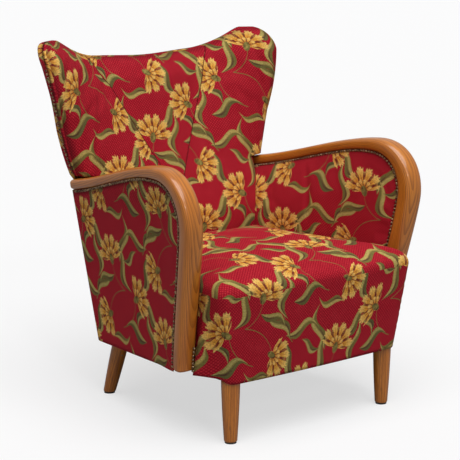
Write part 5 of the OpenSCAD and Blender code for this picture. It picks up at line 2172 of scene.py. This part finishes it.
def aim(data: bpy.types.Camera | bpy.types.Light, away: Vector, place: Vector) -> Piece:
    """Set a camera or a lamp up so that it looks back along a direction.

    Args:
        data: The camera or lamp.
        away: Direction in which it stands.
        place: Where it stands.

    Returns:
        The object.
    """
    item = bpy.data.objects.new(data.name, data)
    item.location = place
    item.rotation_euler = (-away).to_track_quat("-Z", "Y").to_euler()
    bpy.context.collection.objects.link(item)
    return item


@dataclass(frozen=True)
class PhotoCamera:
    """The camera fitted to the photograph.

    Attributes:
        azimuth: Where it stands round the chair, in degrees, 0 in front.
        elevation: How high it stands, in degrees.
        distance: Its distance from the target, in metres.
        target: The place that it looks at, in metres.
        view: Its field of view, in degrees.
        sensor: Width of its sensor, in millimetres.
    """

    azimuth: float = -38.675
    elevation: float = 11.985
    distance: float = 4.596
    target: Triple = (-0.0278, -0.0481, 0.4689)
    view: float = 15.293
    sensor: float = 36.0

    def place(self) -> None:
        """Set the camera up and look through it."""
        away = direction(self.azimuth, self.elevation)
        data = bpy.data.cameras.new("photo_camera")
        data.sensor_width = self.sensor
        data.lens = self.sensor / 2 / math.tan(math.radians(self.view) / 2)
        bpy.context.scene.camera = aim(data, away, Vector(self.target) + away * self.distance)


@dataclass(frozen=True)
class SoftLamp:
    """A broad, distant studio lamp.

    Attributes:
        name: The lamp's name.
        azimuth: Where it stands round the chair, in degrees, 0 in front.
        elevation: How high it stands, in degrees.
        strength: Its strength.
        spread: Its apparent width, in degrees.
    """

    name: str
    azimuth: float
    elevation: float
    strength: float
    spread: float

    def hang(self) -> None:
        """Put the lamp into the scene."""
        data = bpy.data.lights.new(self.name, "SUN")
        data.energy = self.strength
        data.angle = math.radians(self.spread)
        away = direction(self.azimuth, self.elevation)
        aim(data, away, away * 4)


@dataclass(frozen=True)
class Studio:
    """The photograph's white surroundings.

    Attributes:
        half: Half the floor's width, in millimetres.
        floor: The floor's colour.
        glow: Light that the floor adds where the camera sees it.
        sky: Strength of the surroundings' light.
        sky_glossy: What is added to it in reflections.
        sky_seen: What is added to it where the camera sees it.
        lamps: The lamps.
    """

    half: float = 40000.0
    floor: Triple = (0.32, 0.32, 0.323)
    glow: float = 0.625
    sky: float = 0.12
    sky_glossy: float = 0.32
    sky_seen: float = 0.827
    lamps: tuple[SoftLamp, ...] = (
        SoftLamp("overhead", -24.0, 72.0, 2.9, 60.0),
        SoftLamp("glint", -18.0, 30.0, 0.3, 7.0),
    )

    def lay_floor(self) -> None:
        """Lay the pale floor."""
        k = self.half
        floor = build_piece("floor", [Patch(np.array([[[-k, -k, 0], [k, -k, 0]], [[-k, k, 0], [k, k, 0]]]))])
        material, sheet, shader = new_finish("studio_floor")
        seen = sheet.put("ShaderNodeLightPath").outputs["Is Camera Ray"]
        sheet.fill(shader, {
            "Base Color": self.floor, "Roughness": 0.9, "Specular IOR Level": 0.1,
            "Emission Color": (1.0, 1.0, 1.0), "Emission Strength": sheet.math("MULTIPLY", seen, self.glow),
        })
        dress(floor, material)

    def build(self) -> None:
        """Lay the floor, set the surroundings and hang the lamps."""
        self.lay_floor()
        world = bpy.data.worlds.new("studio")
        bpy.context.scene.world = world
        world.use_nodes = True
        sky = NodeSheet(world.node_tree)
        rays = sky.put("ShaderNodeLightPath").outputs
        light = sky.math("MULTIPLY_ADD", rays["Is Glossy Ray"], self.sky_glossy, self.sky)
        light = sky.math("MULTIPLY_ADD", rays["Is Camera Ray"], self.sky_seen, light)
        sky.fill(world.node_tree.nodes["Background"], {0: (1.0, 1.0, 1.0), 1: light})
        for lamp in self.lamps:
            lamp.hang()


LEGS = (  # end, foot's and top's centre on the right side, radius at the top
    ("front", (261.0, -342.0), (261.0, -342.0), 24.5),
    ("rear", (257.0, 200.0), (266.0, 126.0), 23.0),
)


def main() -> None:
    """Build the chair piece by piece and report each."""
    logging.basicConfig(level=logging.INFO, format="%(message)s")
    scene = bpy.context.scene
    scene.view_settings.view_transform = "Standard"
    PhotoCamera().place()
    Studio().build()
    wood, cloth, iron = ShowWood().make(), CoverCloth().make(), AgedIron().make()
    dress_frame_nodes()
    pieces = [ShowWoodArm(side).build(wood) for side in Side]
    for side in Side:
        for end, foot, top, top_r in LEGS:
            foot, top = ((side.value * x, y) for x, y in (foot, top))
            pieces.append(TurnedLeg(f"{end}_{side.word}_leg", foot, top, top_r).build(wood))
    back = BackUpholstery()
    pieces += [TightSeat().build(cloth), back.inside(cloth), back.outside(cloth)]
    for side in Side:
        covers = ArmCovers(side)
        pieces += [covers.inner(cloth), covers.outer(cloth)]
    pieces += [row.build(iron) for row in nail_rows()]
    for piece in pieces:
        log.info("%s: %d points", piece.name, len(piece.data.vertices))


if __name__ == "__main__":
    main()
